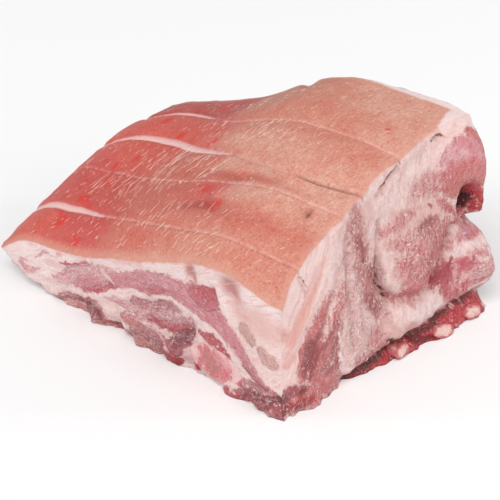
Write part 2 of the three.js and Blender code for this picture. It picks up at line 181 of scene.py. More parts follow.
# Strokes of lean and fat on the cut faces, each painted over the ones before it: colour,
# amount of white grain, and a path of (along, up, half width) in mm.
FRONT_STROKES = (
    ("blush", 0, ((-98, 28, 3), (-84, 32, 3))),
    ("apricot", 0, ((-86, 39, 1.6), (-82, 42, 1.6))),
    ("shade", 0, ((57, 88, 3), (60, 81, 5), (63, 76, 3))),
    ("shade", 0, ((94, 89, 4), (98, 84, 8), (105, 76, 4))),
    ("ivory", 0, ((112, 56, 14), (134, 34, 16))),
    ("crumb", 0, ((104, 70, 6), (122, 67, 9), (143, 62, 8))),
    ("blush", 0, ((-20, 62, 3), (10, 68, 3))),
    ("apricot", 0, ((104, 66, 0.8), (116, 65, 0.8))),
    ("pink", 0.6, ((-90, 17, 2), (-70, 28, 8), (-50, 35, 12), (-30, 42, 9.5), (-12, 47, 7))),
    ("damask", 0.2, ((-66, 22, 2), (-50, 29, 6), (-30, 35, 4), (-16, 42, 5))),
    ("damask", 0.15, ((-24, 42, 5), (0, 50, 8), (22, 57, 9), (44, 61, 10), (60, 62, 11), (74, 61, 12))),
    ("rosy", 0.2, ((-6, 54, 3), (22, 60, 5), (44, 64, 5))),
    ("damask", 0.2, ((74, 58, 11), (82, 55, 10), (91, 47, 9), (105, 40, 6), (115, 33, 5), (124, 24, 3),
                    (134, 19, 1.5))),
    ("berry", 0.35, ((-56, 21, 1.5), (-40, 27, 3), (-25, 35, 2.5))),
    ("carmine", 0.2, ((62, 67, 4), (72, 66, 7), (79, 66, 7))),
    ("berry", 0.12, ((63, 70, 2.5), (72, 72, 4.5), (79, 72, 5.5))),
    ("carmine", 0.2, ((20, 52, 1.6), (30, 55, 2))),
    ("blush", 0, ((-37, 48, 1.2), (-29, 43, 1.8), (-24, 38, 0.8))),
    ("berry", 0.2, ((-84, 33, 0.9), (-70, 39, 1.4), (-52, 46, 0.7))),
    ("pink", 0.4, ((-126, 21, 1.2), (-120, 18, 2.4), (-114, 17, 2.4), (-106, 20, 1.4))),
    ("pink", 0.3, ((-126, 24, 0.8), (-120, 25, 1.2))),
    ("pink", 0.2, ((-110, 30, 0.9), (-103, 35, 1.4), (-97, 36, 0.8))),
    ("rosy", 0.7, ((-30, 24, 3), (-5, 26, 6), (20, 28, 7), (45, 34, 6), (58, 40, 3))),
    ("heather", 0.4, ((-4, 34, 2), (8, 35, 4), (22, 39, 4.5), (38, 44, 4.5), (49, 47, 2))),
    ("mauve", 0.35, ((-13, 17, 3), (0, 15, 5), (10, 14, 4))),
    ("heather", 0.4, ((0, 9, 4), (16, 13, 5), (27, 15, 5))),
    ("maroon", 0.5, ((0, 7, 2), (12, 10, 4), (24, 9, 3))),
    ("wine", 0.3, ((18, 25, 2.4), (38, 27, 3.4), (54, 35, 2.4))),
    ("maroon", 0.25, ((30, 10, 6), (44, 15, 7), (53, 24, 6), (60, 36, 3))),
    ("plum", 0.35, ((42, 20, 3), (50, 25, 4.5), (57, 33, 2.6))),
    ("maroon", 0.5, ((-86, 2, 4), (-72, 7, 5), (-52, 10, 6), (-40, 13, 5), (-36, 5, 6), (-22, 4, 4))),
    ("plum", 0.4, ((-64, 9, 1.6), (-46, 11, 2.6), (-38, 9, 2))),
    ("mauve", 0.6, ((-88, 0, 3), (-60, 1, 5), (-28, 1, 4))),
    ("maroon", 0.3, ((-106, 6, 1.6), (-99, 5, 1.6))),
    ("gristle", 0, ((-67, 7, 0.8), (-60, 7, 1.5), (-54, 9, 0.8))),
    ("brown", 0.4, ((-10, 2, 5), (8, 3, 5), (22, 2, 5))),
    ("gristle", 0, ((25, 18, 0.8), (32, 12, 1), (38, 8, 1.2))),
    ("gristle", 0, ((16, 18, 0.7), (24, 19, 0.9), (29, 15, 0.9))),
    ("claret", 0.3, ((26, 3, 3), (36, 4, 4.5), (46, 5, 4.5))),
    ("ruby", 0, ((36, 3, 2), (45, 4, 3.6))),
    ("blood_and_crevice_shade", 0, ((42, 2, 1), (46, 4, 1.6))),
    ("milk", 0, ((-98, 15, 5), (-84, 11, 3.6), (-72, 16, 2), (-56, 18, 1.3), (-42, 22, 1.8), (-30, 28, 2.2),
                 (-20, 34, 2.2), (-8, 39, 2.2), (8, 42.5, 1.8), (24, 47, 1.8), (40, 50.5, 1.8), (48, 49, 2),
                 (58, 47, 1.8), (74, 45, 1.8), (84, 41, 1.8), (93, 34, 2), (100, 27, 2.2), (106, 18, 2.2))),
    ("ivory", 0, ((-36, 17, 3.5), (-24, 20, 4.5), (-14, 22, 2.5))),
    ("ivory", 0, ((-30, 10, 2.5), (-20, 11, 3.5), (-14, 6, 2.5))),
    ("berry", 0.08, ((69, 36, 3), (80, 35, 4.8), (94, 29, 3))),
    ("pearl", 0, ((61, 41, 1.2), (63, 31, 1.6), (60, 22, 1.8), (54, 16, 2.4))),
    ("gristle", 0, ((54, 9, 4.5), (61, 14, 4.5), (64, 7, 3.5))),
    ("ruby", 0, ((60, 4, 2.2), (64, 5, 2.2))),
    ("berry", 0.1, ((96, 3, 3), (106, 3, 5), (113, 3, 4))),
    ("blush", 0, ((100, 8, 0.9), (106, 5, 1.1))),
    ("maroon", 0.3, ((112, 6, 5), (126, 7, 7), (140, 9, 8), (149, 5, 8))),
    ("plum", 0.3, ((122, 8, 2), (136, 9, 3), (146, 12, 3))),
    ("maroon", 0.2, ((118, 3, 3), (128, 2, 3), (134, 6, 2.4))),
    ("maroon", 0.4, ((110, 29, 1.2), (122, 22, 1.8), (134, 18, 2), (143, 17, 2))),
    ("heather", 0.2, ((112, 15, 2.2), (120, 17, 3), (129, 17, 2.2))),
    ("grey", 0.1, ((112, 56, 6), (117, 53, 6))),
    ("grey", 0.12, ((130, 47, 4.6), (133, 43, 5.4), (138, 39.5, 4.6), (142, 36.5, 3.4))),
)
RIGHT_STROKES = (
    ("ivory", 0, ((-110, 60, 70), (110, 80, 80))),
    ("blush", 0, ((-112, 40, 5), (-98, 62, 7), (-72, 94, 5))),
    ("apricot", 0, ((-113, 62, 4), (-103, 56, 5), (-92, 63, 3))),
    ("apricot", 0, ((-110, 36, 2.5), (-100, 44, 2.5))),
    ("apricot", 0, ((-100, 60, 3), (-90, 70, 4), (-76, 84, 3), (-62, 98, 2))),
    ("gristle", 0, ((-108, 36, 0.5), (-88, 58, 0.9), (-62, 84, 0.6))),
    ("apricot", 0, ((-110, 42, 0.6), (-92, 64, 1), (-66, 92, 0.7))),
    ("gristle", 0, ((-111, 50, 0.6), (-96, 70, 0.9), (-72, 98, 0.6))),
    ("gristle", 0, ((-112, 58, 0.5), (-100, 76, 0.8), (-82, 98, 0.5))),
    ("pearl", 0, ((-14, 114, 9), (-12, 104, 7))),
    ("milk", 0, ((-9, 101, 4), (-5, 92, 4))),
    ("silver", 0.6, ((-34, 98, 7), (-34, 74, 8), (-38, 44, 12), (-30, 26, 16), (-16, 20, 12))),
    ("brown", 0.3, ((-24, 121, 5), (-26, 104, 9), (-22, 87, 8))),
    ("sienna", 0.3, ((-25, 102, 2.5), (-21, 92, 4.5), (-23, 82, 3))),
    ("brown", 0.3, ((-30, 82, 4), (-21, 72, 9), (-17, 56, 10), (-13, 44, 7))),
    ("sienna", 0.35, ((-15, 77, 3), (-11, 69, 6), (-10, 62, 5))),
    ("sienna", 0.35, ((-25, 58, 4), (-20, 52, 6), (-15, 42, 5))),
    ("silver", 0.5, ((-44, 30, 5), (-32, 26, 7))),
    ("mauve", 0.7, ((-24, 24, 7), (-10, 28, 7), (-6, 36, 4))),
    ("mauve", 0.6, ((-40, 12, 5), (-20, 12, 6), (-8, 16, 5))),
    ("mauve", 0.5, ((4, 95, 3), (22, 98, 5), (42, 97, 4))),
    ("mauve", 0.6, ((40, 108, 4), (58, 110, 8), (78, 108, 11))),
    ("rosewood", 0.2, ((84, 108, 11), (97, 118, 18), (106, 106, 14), (113, 130, 13))),
    ("damask", 0.15, ((94, 134, 4), (104, 128, 6), (110, 118, 5))),
    # Painted sheen on the upper right muscle.
    ("lilac_sheen", 0.3, ((78, 121, 4), (86, 128, 5), (96, 122, 4))),
    ("russet", 0.3, ((74, 101, 4), (86, 97, 5), (98, 102, 5))),
    ("mauve", 0.6, ((10, 84, 5), (30, 78, 10), (46, 80, 9), (62, 88, 6))),
    ("mauve", 0.5, ((14, 64, 7), (30, 60, 18), (50, 62, 20), (66, 68, 13))),
    ("russet", 0.4, ((36, 84, 2.5), (50, 82, 4), (62, 78, 5))),
    ("russet", 0.3, ((70, 92, 4), (77, 87, 4), (84, 80, 3))),
    ("russet", 0.35, ((46, 60, 6), (60, 70, 9), (72, 70, 8), (75, 77, 5))),
    ("rosewood", 0.15, ((6, 46, 4), (24, 43.5, 7), (46, 47, 7))),
    ("mauve", 0.55, ((-47, 74, 2.5), (-51, 58, 5), (-56, 48, 5))),
    ("mauve", 0.6, ((-60, 70, 4), (-70, 60, 8), (-78, 52, 9))),
    ("rosewood", 0.3, ((-76, 52, 7), (-84, 40, 11), (-92, 30, 9))),
    ("sienna", 0.4, ((-58, 46, 6), (-64, 30, 11), (-72, 16, 13))),
    ("russet", 0.2, ((-68, 60, 5), (-82, 43, 9), (-92, 30, 7))),
    ("garnet", 0.1, ((-74, 51, 2), (-85, 40, 6), (-92, 29, 4))),
    ("claret", 0.1, ((-62, 46, 1.2), (-72, 36, 3), (-86, 21, 2.4))),
    ("garnet", 0.1, ((-70, 40, 1.5), (-79, 31, 3.4), (-88, 20, 1.5))),
    ("russet", 0.3, ((-66, 38, 2), (-76, 26, 5), (-82, 14, 6))),
    ("rosewood", 0.35, ((-114, 8, 9), (-92, 9, 10), (-60, 7, 8))),
    ("maroon", 0.3, ((-116, 18, 4), (-106, 18, 5), (-95, 16, 4))),
    ("garnet", 0.05, ((-101, 15, 2.5), (-95, 13, 3.4))),
    ("garnet", 0.2, ((-112, 4, 3), (-98, 4, 3), (-86, 5, 2))),
    ("plum", 0.35, ((-117, 4, 6), (-114, 10, 5), (-110, 15, 3))),
    ("ruby", 0.2, ((-113, 5, 1.2), (-96, 6.5, 1.6), (-84, 4, 1.2))),
    ("russet", 0.45, ((-44, 74, 2), (-46, 60, 2))),
    ("berry", 0.15, ((82, 72, 4), (98, 72, 5), (111, 66, 4))),
    ("damask", 0.4, ((86, 61, 3), (110, 60, 3))),
    ("claret", 0, ((50, 40, 4), (62, 40, 8), (72, 46, 4))),
    ("wine", 0.1, ((60, 33, 5), (64, 27, 4))),
    ("damask", 0.3, ((63, 22, 3), (70, 19, 4))),
    ("damask", 0.55, ((84, 40, 8), (100, 40, 10), (110, 34, 8))),
    ("berry", 0.1, ((68, 24, 4), (74, 34, 7), (82, 43, 6), (94, 46, 3))),
    # A pale lilac streak on the tail lobe, painted partly as sheen.
    ("lilac_sheen", 0.2, ((79, 42, 2.4), (70, 29, 2.4))),
    ("berry", 0.55, ((66, 20, 3), (84, 24, 5), (104, 26, 5))),
    ("ivory", 0, ((-3, 43, 1), (8, 34, 4), (26, 27, 9), (44, 25, 9), (58, 19, 4))),
    ("milk", 0, ((20, 27, 7), (34, 26, 8), (48, 24, 7))),
    ("ivory", 0, ((94, 45, 1.2), (100, 42, 2.2), (106, 40, 1.4))),
    ("crumb", 0, ((-9, 30, 4), (0, 22, 6), (22, 14, 4), (50, 15, 3))),
    ("crumb", 0, ((10, 26, 2), (18, 22, 3))),
    ("milk", 0, ((74, 17.5, 1), (90, 20, 2), (104, 24, 1.8), (112, 28, 1.2))),
    ("milk", 0, ((72, 52, 2), (88, 55, 3.6), (112, 52, 3.4))),
    ("milk", 0, ((62, 55, 0.8), (72, 62, 1.2), (82, 70, 0.8))),
    ("milk", 0, ((-56, 42, 1.2), (-55, 24, 1.8), (-52, 12, 2.4), (-42, 5, 2.2))),
    ("ivory", 0, ((6, 78, 3), (3, 62, 3.6), (8, 49, 3))),
    ("crumb", 0, ((20, 90, 2), (40, 93, 4), (56, 95, 5), (66, 88, 3))),
    ("crumb", 0, ((64, 96, 3), (67, 86, 2.6))),
    ("sienna", 0.2, ((36, 88, 1.6), (47, 88.5, 3), (61, 86, 1.8))),
    ("milk", 0, ((106, 144, 3), (118, 141, 4))),
    ("pearl", 0, ((74, 134, 0.9), (86, 138, 1), (96, 142, 1.2))),
    ("berry", 0, ((84, 60, 0.6), (98, 58, 0.9), (112, 57, 0.7))),
    ("ruby", 0.08, ((-50, 0, 2.5), (-20, 2, 4), (20, 3, 6), (60, 4, 6), (102, 6, 7))),
    ("blood_and_crevice_shade", 0, ((20, 5, 2.5), (30, 4, 3.4), (38, 4, 2.5))),
    ("shadow", 0, ((-48, 1, 0.9), (-28, 4, 1.6), (-6, 7.5, 2), (12, 8.5, 1.8),
                   (60, 10.5, 1.5), (96, 14, 1.4))),
    ("berry", 0.1, ((109, 94, 4), (112, 76, 4))),
    ("ruby", 0.05, ((103, 97, 3), (107, 86, 5), (108, 75, 4))),
    # Painted shade deep in the hole beside the flap.
    ("hole_shade", 0, ((99, 92, 4), (102, 84, 5.5), (102, 78, 4))),
    # Painted shade: a thin dark line down the crevice left of the round lobe.
    ("blood_and_crevice_shade", 0, ((-6, 78, 0.3), (-8, 64, 0.9), (-3, 53, 0.9), (2, 45, 0.4))),
    ("pit", 0, ((4, 127, 0.8), (18, 131.5, 2), (29, 134.5, 1.4))),
    ("pit", 0, ((31, 141, 0.7), (33, 136, 0.7))),
    ("pit", 0, ((70, 139, 0.5), (78, 140, 1.4), (82, 140, 0.7))),
    ("pit", 0, ((-92, 104, 0.5), (-85, 88, 0.5))),
    ("pit", 0, ((55, 96, 0.8), (58, 92, 1))),
    ("wine", 0, ((78, 86, 0.8), (83, 82, 1.2), (86, 74, 1))),
    # Painted shade in a small hole under the fat lobe.
    ("hole_shade", 0, ((-6, 16, 1), (-1, 14.5, 1.4))),
)
BACK_STROKES = (
    ("mauve", 0.5, ((-100, 34, 18), (-56, 48, 28), (-24, 52, 22))),
    ("rosy", 0.5, ((14, 66, 26), (60, 78, 36), (92, 60, 26))),
    ("russet", 0.35, ((-80, 36, 5), (-58, 46, 9), (-36, 44, 6))),
    ("damask", 0.2, ((-30, 66, 4), (-22, 56, 6), (-20, 40, 4))),
    ("brown", 0.3, ((30, 84, 6), (56, 92, 9), (80, 86, 6))),
    ("claret", 0.15, ((40, 54, 2.5), (60, 50, 5), (80, 46, 3))),
    ("sienna", 0.3, ((86, 66, 4), (96, 58, 6), (98, 46, 4))),
    ("maroon", 0.4, ((-100, 6, 7), (0, 8, 8), (100, 8, 8))),
    ("plum", 0.3, ((-70, 8, 2.5), (-40, 9, 4), (-14, 8, 2.5))),
    ("ruby", 0.1, ((30, 6, 2), (52, 8, 3.4), (74, 7, 2))),
    ("gristle", 0, ((-66, 66, 0.8), (-48, 56, 1.4), (-34, 34, 0.9))),
    ("milk", 0, ((18, 92, 0.9), (40, 80, 1.6), (70, 72, 1.6), (98, 78, 0.9))),
    ("berry", 0.3, ((100, 110, 14), (104, 100, 16))),
    ("milk", 0, ((-10, 10, 2), (-8, 60, 3.5), (-4, 110, 4))),
    ("ivory", 0, ((-90, 18, 3), (-20, 22, 3), (40, 20, 3), (96, 26, 3))),
    ("blush", 0, ((30, 44, 2), (60, 60, 2.5), (92, 92, 2))),
)
LEFT_STROKES = (
    ("rosy", 0.45, ((-84, 12, 4), (-40, 24, 12), (0, 34, 18), (36, 34, 20))),
    ("maroon", 0.4, ((-60, 3, 4), (0, 6, 7), (44, 6, 7))),
    ("milk", 0, ((-60, 10, 2), (-10, 16, 2.5), (44, 18, 3))),
)
UNDER_STROKES = (
    ("maroon", 0.5, ((-96, -112, 9), (0, -113, 10), (148, -112, 12))),
    ("maroon", 0.5, ((147, -112, 9), (146, 0, 8), (144, 104, 9))),
    ("maroon", 0.6, ((-70, -86, 22), (0, -76, 34), (90, -70, 36))),
    ("berry", 0.5, ((-70, -10, 34), (20, 0, 40), (104, 20, 40))),
    ("mauve", 0.6, ((-60, 34, 16), (30, 62, 22), (110, 84, 30))),
    ("ivory", 0, ((-90, -50, 5), (0, -36, 7), (80, -28, 5))),
    ("blush", 0, ((-80, 14, 4), (20, 34, 6), (120, 58, 4))),
)
# Seam of fat under the long lean band of the front, along and up: the flesh below it is torn.
WHITE_SEAM = ((-60, 18), (-30, 28), (0, 40), (40, 50), (60, 47), (84, 41), (106, 18))
# Top of the smooth wet strip along the ribs, along and up.
RIB_STRIP = ((-52, -1), (-48, 2), (0, 10), (98, 16))
# Smooth flesh on the right-hand cut: along, up, reach along, reach up (mm), amount.
SMOOTH_FLESH = ((110, 128, 36, 36, 1.4), (66, 36, 14, 14, 1.0), (26, 43, 20, 7, 0.9))
# Way the fat is layered on each face, along and up.
FRONT_LAYERS, RIGHT_LAYERS, PLAIN_LAYERS = (0.93, 0.36), (0.52, 0.85), (1, 0)

# Patches of colour on the rind: colour, share from the left, share from the front, reach each way.
# Some are painted light: darker patches at the back left, in two creases and in a small dimple are
# painted shade, and two pale patches on the bulges either side of the third cut are painted highlight.
RIND_PATCHES = (
    ("rose", 0.08, 0.08, 0.14, 0.1), ("crimson", 0.27, 0.12, 0.1, 0.1), ("brick", 0.25, 0.3, 0.1, 0.1),
    ("crimson", 0.1, 0.36, 0.12, 0.1), ("rose", 0.25, 0.5, 0.14, 0.12), ("rose", 0.2, 0.72, 0.16, 0.08),
    # Painted shade at the back left: the two dusky patches at 0.2, 0.93 and 0.35, 0.84.
    ("dusk_shade", 0.2, 0.93, 0.14, 0.07), ("dusk_shade", 0.35, 0.84, 0.08, 0.06), ("rose", 0.4, 0.62, 0.08, 0.06),
    ("clay_and_crease_shade", 0.44, 0.42, 0.1, 0.08), ("clay_and_crease_shade", 0.44, 0.26, 0.1, 0.1), ("salmon", 0.5, 0.1, 0.12, 0.1),
    ("fawn", 0.52, 0.86, 0.1, 0.12), ("peach", 0.66, 0.8, 0.1, 0.12), ("cream_and_highlight", 0.86, 0.88, 0.12, 0.12),
    ("peach", 0.84, 0.75, 0.1, 0.05), ("cream_and_highlight", 0.96, 0.72, 0.05, 0.1), ("peach", 0.62, 0.62, 0.1, 0.06),
    # Painted highlight on the bulges either side of the third cut: the two pale patches at 0.66, 0.53 and
    # 0.72, 0.405.
    ("cream_and_highlight", 0.66, 0.53, 0.14, 0.05), ("cream_and_highlight", 0.72, 0.405, 0.14, 0.035),
    # Painted shade in the crease between the second and third cuts: the narrow patch at 0.68, 0.35.
    ("peach", 0.86, 0.6, 0.12, 0.05), ("clay_and_crease_shade", 0.68, 0.35, 0.1, 0.025), ("cream_and_highlight", 0.8, 0.27, 0.12, 0.05),
    # Painted shade in the crease between the first and second cuts: the dark red patch at 0.66, 0.212.
    ("crimson", 0.64, 0.27, 0.06, 0.035), ("red_crease_shade", 0.66, 0.212, 0.06, 0.02),
    ("salmon", 0.82, 0.19, 0.14, 0.05), ("peach", 0.74, 0.06, 0.16, 0.06), ("peach", 0.93, 0.1, 0.08, 0.12),
    ("cream_and_highlight", 0.93, 0.4, 0.07, 0.08), ("cream_and_highlight", 0.62, -0.02, 0.2, 0.04), ("salmon", 0.3, -0.01, 0.14, 0.03),
    # Painted shade in the small dimple near the right edge: the last, tiny patch.
    ("cream_and_highlight", 0.3, -0.03, 0.3, 0.025), ("umber_shade", 0.929, 0.308, 0.005, 0.015),
)
# Small bright blots on the rind: share from the left, share from the front, reach (mm).
RIND_BLOTS = (
    (0.18, 0.105, 6), (0.19, 0.235, 6), (0.225, 0.19, 5), (0.27, 0.06, 4), (0.28, 0.035, 4), (0.29, 0.64, 5),
    (0.27, 0.59, 6), (0.31, 0.575, 5), (0.165, 0.72, 5), (0.17, 0.76, 4), (0.47, 0.54, 5), (0.45, 0.62, 4),
    (0.29, 0.89, 6), (0.62, 0.285, 6), (0.23, 0.48, 4), (0.92, 0.73, 4), (0.22, 0.34, 6), (0.52, 0.975, 5),
    (0.7, 0.207, 5), (0.18, 0.43, 4), (0.15, 0.155, 5),
)
# Thickets of bristles: share from the left, share from the front, reach each way.
THICKETS = (
    (0.38, 0.46, 0.13, 0.1), (0.5, 0.34, 0.16, 0.06), (0.54, 0.17, 0.16, 0.06), (0.64, 0.57, 0.12, 0.07),
    (0.72, 0.06, 0.14, 0.04), (0.25, 0.3, 0.12, 0.06),
)
BRISTLE_TRIES, STUBBLE_SHARE = 5000, 0.09
# Radii in mm at the start and the end of a bristle's two halves.
BRISTLE_RADII = ((0.14, 0.11), (0.11, 0.05))

# Values that stand for no lean and no open cut.
NO_LEAN, NO_SLIT = -8.0, -10.0

# Half width of the floor, lamps and camera, in metres and degrees. Lamps: name, kind, place, power, softness.
FLOOR_HALF = 4
LAMPS = (
    ("key", "SUN", (0.6, -1.2, 1.8), 1.7, 0.7),
    ("fill", "AREA", (1.8, 0.0, 1.1), 8.5, 1.2),
    ("left glint", "AREA", (-1.1, -1.3, 0.7), 4.0, 0.35),
    ("right glint", "AREA", (1.3, 1.1, 0.7), 4.0, 0.35),
)
LAMP_TARGET = (0, 0, 0.06)
SKY_STRENGTH = 0.5
CAMERA = {"azimuth": 45, "elevation": 27, "away": 1.6, "aim": (0.002, 0.00188, 0.06), "drop": 0.0265,
          "lens": 153.6}


def linear(rgb):
    """Shown colour, 0 to 255, as linear light."""
    v = np.array(rgb, float) / 255
    return np.where(v <= 0.04045, v / 12.92, ((v + 0.055) / 1.055) ** 2.4)


COLOURS = {**RIND_COLOURS, **FAT_COLOURS, **LEAN_COLOURS, **BONE_COLOURS}
PAINT = {name: linear(rgb) for name, rgb in COLOURS.items()}


def mix(p, q, s):
    """From p at 0 to q at 1."""
    return p + (q - p) * s


def step(low, high, value):
    """Smooth step from 0 at low to 1 at high."""
    s = np.clip((value - low) / (high - low), 0, 1)
    return s * s * (3 - 2 * s)


def edge_curve(shares, steps=200):
    """Smooth curve through the points, read by the share of its length."""
    p = np.array(shares) * (LENGTH, WIDTH, HEIGHT)
    whole = np.vstack([2 * p[0] - p[1], p, 2 * p[-1] - p[-2]])
    spans = len(p) - 1

    def at(t):
        f = np.clip(t, 0, 1) * spans
        i = np.minimum(f.astype(int), spans - 1)
        w = (f - i)[..., None]
        p0, p1, p2, p3 = (whole[i + n] for n in range(4))
        m1, m2 = (p2 - p0) / 2, (p3 - p1) / 2
        cubic = (2 * p1 - 2 * p2 + m1 + m2) * w ** 3 + (3 * p2 - 3 * p1 - 2 * m1 - m2) * w ** 2
        return cubic + m1 * w + p1

    t = np.linspace(0, 1, steps + 1)
    run = np.concatenate([[0], np.cumsum(np.linalg.norm(np.diff(at(t), axis=0), axis=1))])
    return lambda s: at(np.interp(s, run / run[-1], t))


front_edge, right_edge = edge_curve(RIND_FRONT), edge_curve(RIND_RIGHT)
left_edge, back_edge = edge_curve(RIND_LEFT), edge_curve(RIND_BACK)


def corner_mix(corners, a, b):
    """Point between four corners, given in shares."""
    c = np.array(corners) * (LENGTH, WIDTH, HEIGHT)
    a, b = a[..., None], b[..., None]
    return c[0] * (1 - a) * (1 - b) + c[1] * a * (1 - b) + c[2] * a * b + c[3] * (1 - a) * b


def rind_point(a, b):
    """Point of the smooth rind, at shares from the left and from the front."""
    p = (1 - b)[..., None] * front_edge(a) + b[..., None] * back_edge(a)
    p = p + (1 - a)[..., None] * left_edge(b) + a[..., None] * right_edge(b)
    p = p - corner_mix((RIND_FRONT[0], RIND_FRONT[-1], RIND_BACK[-1], RIND_BACK[0]), a, b)
    p[..., 2] += CROWN * 16 * a * (1 - a) * b * (1 - b)
    return p


def rind_reach(a):
    """Way from the front to the back over the rind, in mm."""
    return mix(RIND_SHORT_LEFT, RIND_SHORT_RIGHT, a)


def score_line(score, a):
    """Way back of a score cut, as a share."""
    bow = score["bow"] * np.sin(np.pi * a ** score["late"])
    hook = score["hook"] * np.sin(np.pi * np.minimum(1, a / score["hook_end"])) ** 2
    return mix(score["left"], score["right"], a) - bow - hook


def row_share(k, a):
    """Row k of the cells as a share of the way back, following the score cuts."""
    first = np.concatenate([[0], np.cumsum(STRIP_ROWS)])
    strip = np.clip(np.searchsorted(first, k, side="left") - 1, 0, len(STRIP_ROWS) - 1)
    f = (k - first[strip]) / np.array(STRIP_ROWS)[strip]
    crowded = f - ROW_CROWDING * np.sin(2 * np.pi * f) / (2 * np.pi)
    lines = np.stack([np.zeros_like(a)] + [score_line(s, a) for s in SCORES] + [np.ones_like(a)])
    pick = np.arange(len(a))
    return mix(lines[strip, pick], lines[strip + 1, pick], crowded)


def across(score, a, b):
    """Distance in mm from a score cut, towards the back."""
    return (b - score_line(score, a)) * rind_reach(a)


def gape(score, a):
    """Half width in mm by which a score cut gapes."""
    start, end = score["gape"]
    return score["open"] * np.sin(np.pi * np.clip((a - start) / (end - start), 0, 1)) ** 0.8


def lumps(p, size, seed):
    """Smooth uneven values from -1 to 1 at each point."""
    q = p / size + seed * 13.7
    i = np.floor(q)
    f = q - i
    f = f * f * (3 - 2 * f)
    total = 0
    for corner in np.ndindex(2, 2, 2):
        cell = (i + corner) @ np.array([127.1, 311.7, 74.7])
        value = np.modf(np.abs(np.sin(cell) * 43758.5453))[0]
        total = total + value * np.prod(np.where(corner, f, 1 - f), axis=-1)
    return 2 * total - 1


def swell_sum(swells, u, v):
    """Rounded swells added up."""
    return sum(h * np.exp(-((u - p) / r) ** 2 - ((v - q) / s) ** 2) for p, q, r, s, h in swells)


def path_distance(u, v, start, end):
    """Distance from a straight path, and the share of the way along it."""
    du, dv = end[0] - start[0], end[1] - start[1]
    s = np.clip(((u - start[0]) * du + (v - start[1]) * dv) / (du * du + dv * dv), 0, 1)
    return np.hypot(u - start[0] - du * s, v - start[1] - dv * s), s


def fold_sum(folds, u, v):
    """Folds added up, each a groove along a straight path."""
    return -sum(depth * np.exp(-(path_distance(u, v, p, q)[0] / half) ** 2) for p, q, half, depth in folds)


def wobble(p, q, size, seed):
    """Smooth waves from -1 to 1."""
    u, v = p / size + seed, q / size - 1.7 * seed
    return 0.6 * np.sin(u + 1.3 * np.sin(0.8 * v + seed)) + 0.4 * np.sin(1.9 * v + 1.1 * np.sin(1.4 * u))


def ragged(u, z, seed):
    """Ragged trim along the foot of a wall."""
    return RAGGED * wobble(u, z, RAGGED_SIZE, seed) * np.exp(-z / RAGGED_RISE)


def stroke_field(path, u, v):
    """How far inside a stroke each point is, how far along it and how far to its side, in mm."""
    depth, along, aside = (np.full(u.shape, value) for value in (-1e3, 0.0, 0.0))
    run = 0
    for (u0, v0, r0), (u1, v1, r1) in zip(path, path[1:]):
        away, s = path_distance(u, v, (u0, v0), (u1, v1))
        long = math.hypot(u1 - u0, v1 - v0)
        side = ((v - v0) * (u1 - u0) - (u - u0) * (v1 - v0)) / long
        here = mix(r0, r1, s) - away
        nearer = here > depth
        depth = np.where(nearer, here, depth)
        along = np.where(nearer, run + s * long, along)
        aside = np.where(nearer, side, aside)
        run += long
    return depth, along, aside


def rind_edge(a, b):
    """Distance in mm from the cut edges of the rind at the front, left and right."""
    return np.minimum.reduce([b * rind_reach(a), a * RIND_LONG, (1 - a) * RIND_LONG])


def rind_relief(a, b, p):
    """How far the rind stands above its smooth form, in mm."""
    edge = EDGE_ROLL * np.exp(-(rind_edge(a, b) / EDGE_REACH) ** 2)
    relief = 0.8 * lumps(p, 28, 1) + 0.35 * lumps(p, 11, 2) - edge
    along, back = a * RIND_LONG, b * RIND_SHORT_MEAN
    for (a0, b0), (a1, b1), half, depth in RIND_FOLDS:
        ends = (a0 * RIND_LONG, b0 * RIND_SHORT_MEAN), (a1 * RIND_LONG, b1 * RIND_SHORT_MEAN)
        relief = relief - depth * np.exp(-(path_distance(along, back, *ends)[0] / half) ** 2)
    for score in SCORES:
        d = across(score, a, b)
        wide = score["half"] + gape(score, a)
        deep = score["depth"] + 0.5 * gape(score, a) + 1.2 * step(score["dark"] - 0.1, score["dark"] + 0.1, a)
        sag = score["sag"] * mix(0.35, 1, step(0, 0.3, a))
        relief = relief - deep * np.exp(-(d / wide) ** 2) - sag * np.exp(-(d / STRIP_ROLL) ** 2)
        relief = relief + 0.3 * np.exp(-((d - wide - 2) / 2.5) ** 2)
    return relief


def lattice(cells):
    """A cube of cells as a bmesh."""
    bm = bmesh.new()
    bmesh.ops.create_cube(bm, size=1)
    for axis, count in enumerate(cells):
        edges = [e for e in bm.edges if abs(e.verts[0].co[axis] - e.verts[1].co[axis]) > 0.5]
        bmesh.ops.subdivide_edges(bm, edges=edges, cuts=count - 1, use_grid_fill=True)
    return bm


def lattice_steps(bm, cells):
    """Cells between each vertex and the lattice's first corner, along its three ways."""
    co = np.array([v.co[:] for v in bm.verts])
    return np.round((co + 0.5) * cells).astype(int)


def to_object(name, bm, points, attributes):
    """Moves the vertices to points (mm) and stores the named values on them."""
    mesh = bpy.data.meshes.new(name)
    bm.to_mesh(mesh)
    bm.free()
    mesh.vertices.foreach_set("co", ((points - CENTRE) * MM).ravel())
    for key, values in attributes.items():
        values = np.asarray(values, float)
        if values.ndim == 1:
            mesh.attributes.new(key, "FLOAT", "POINT").data.foreach_set("value", values)
        else:
            mesh.attributes.new(key, "FLOAT_VECTOR", "POINT").data.foreach_set("vector", values.ravel())
    mesh.polygons.foreach_set("use_smooth", np.ones(len(mesh.polygons), bool))
    mesh.update()
    piece = bpy.data.objects.new(name, mesh)
    bpy.context.scene.collection.objects.link(piece)
    return piece


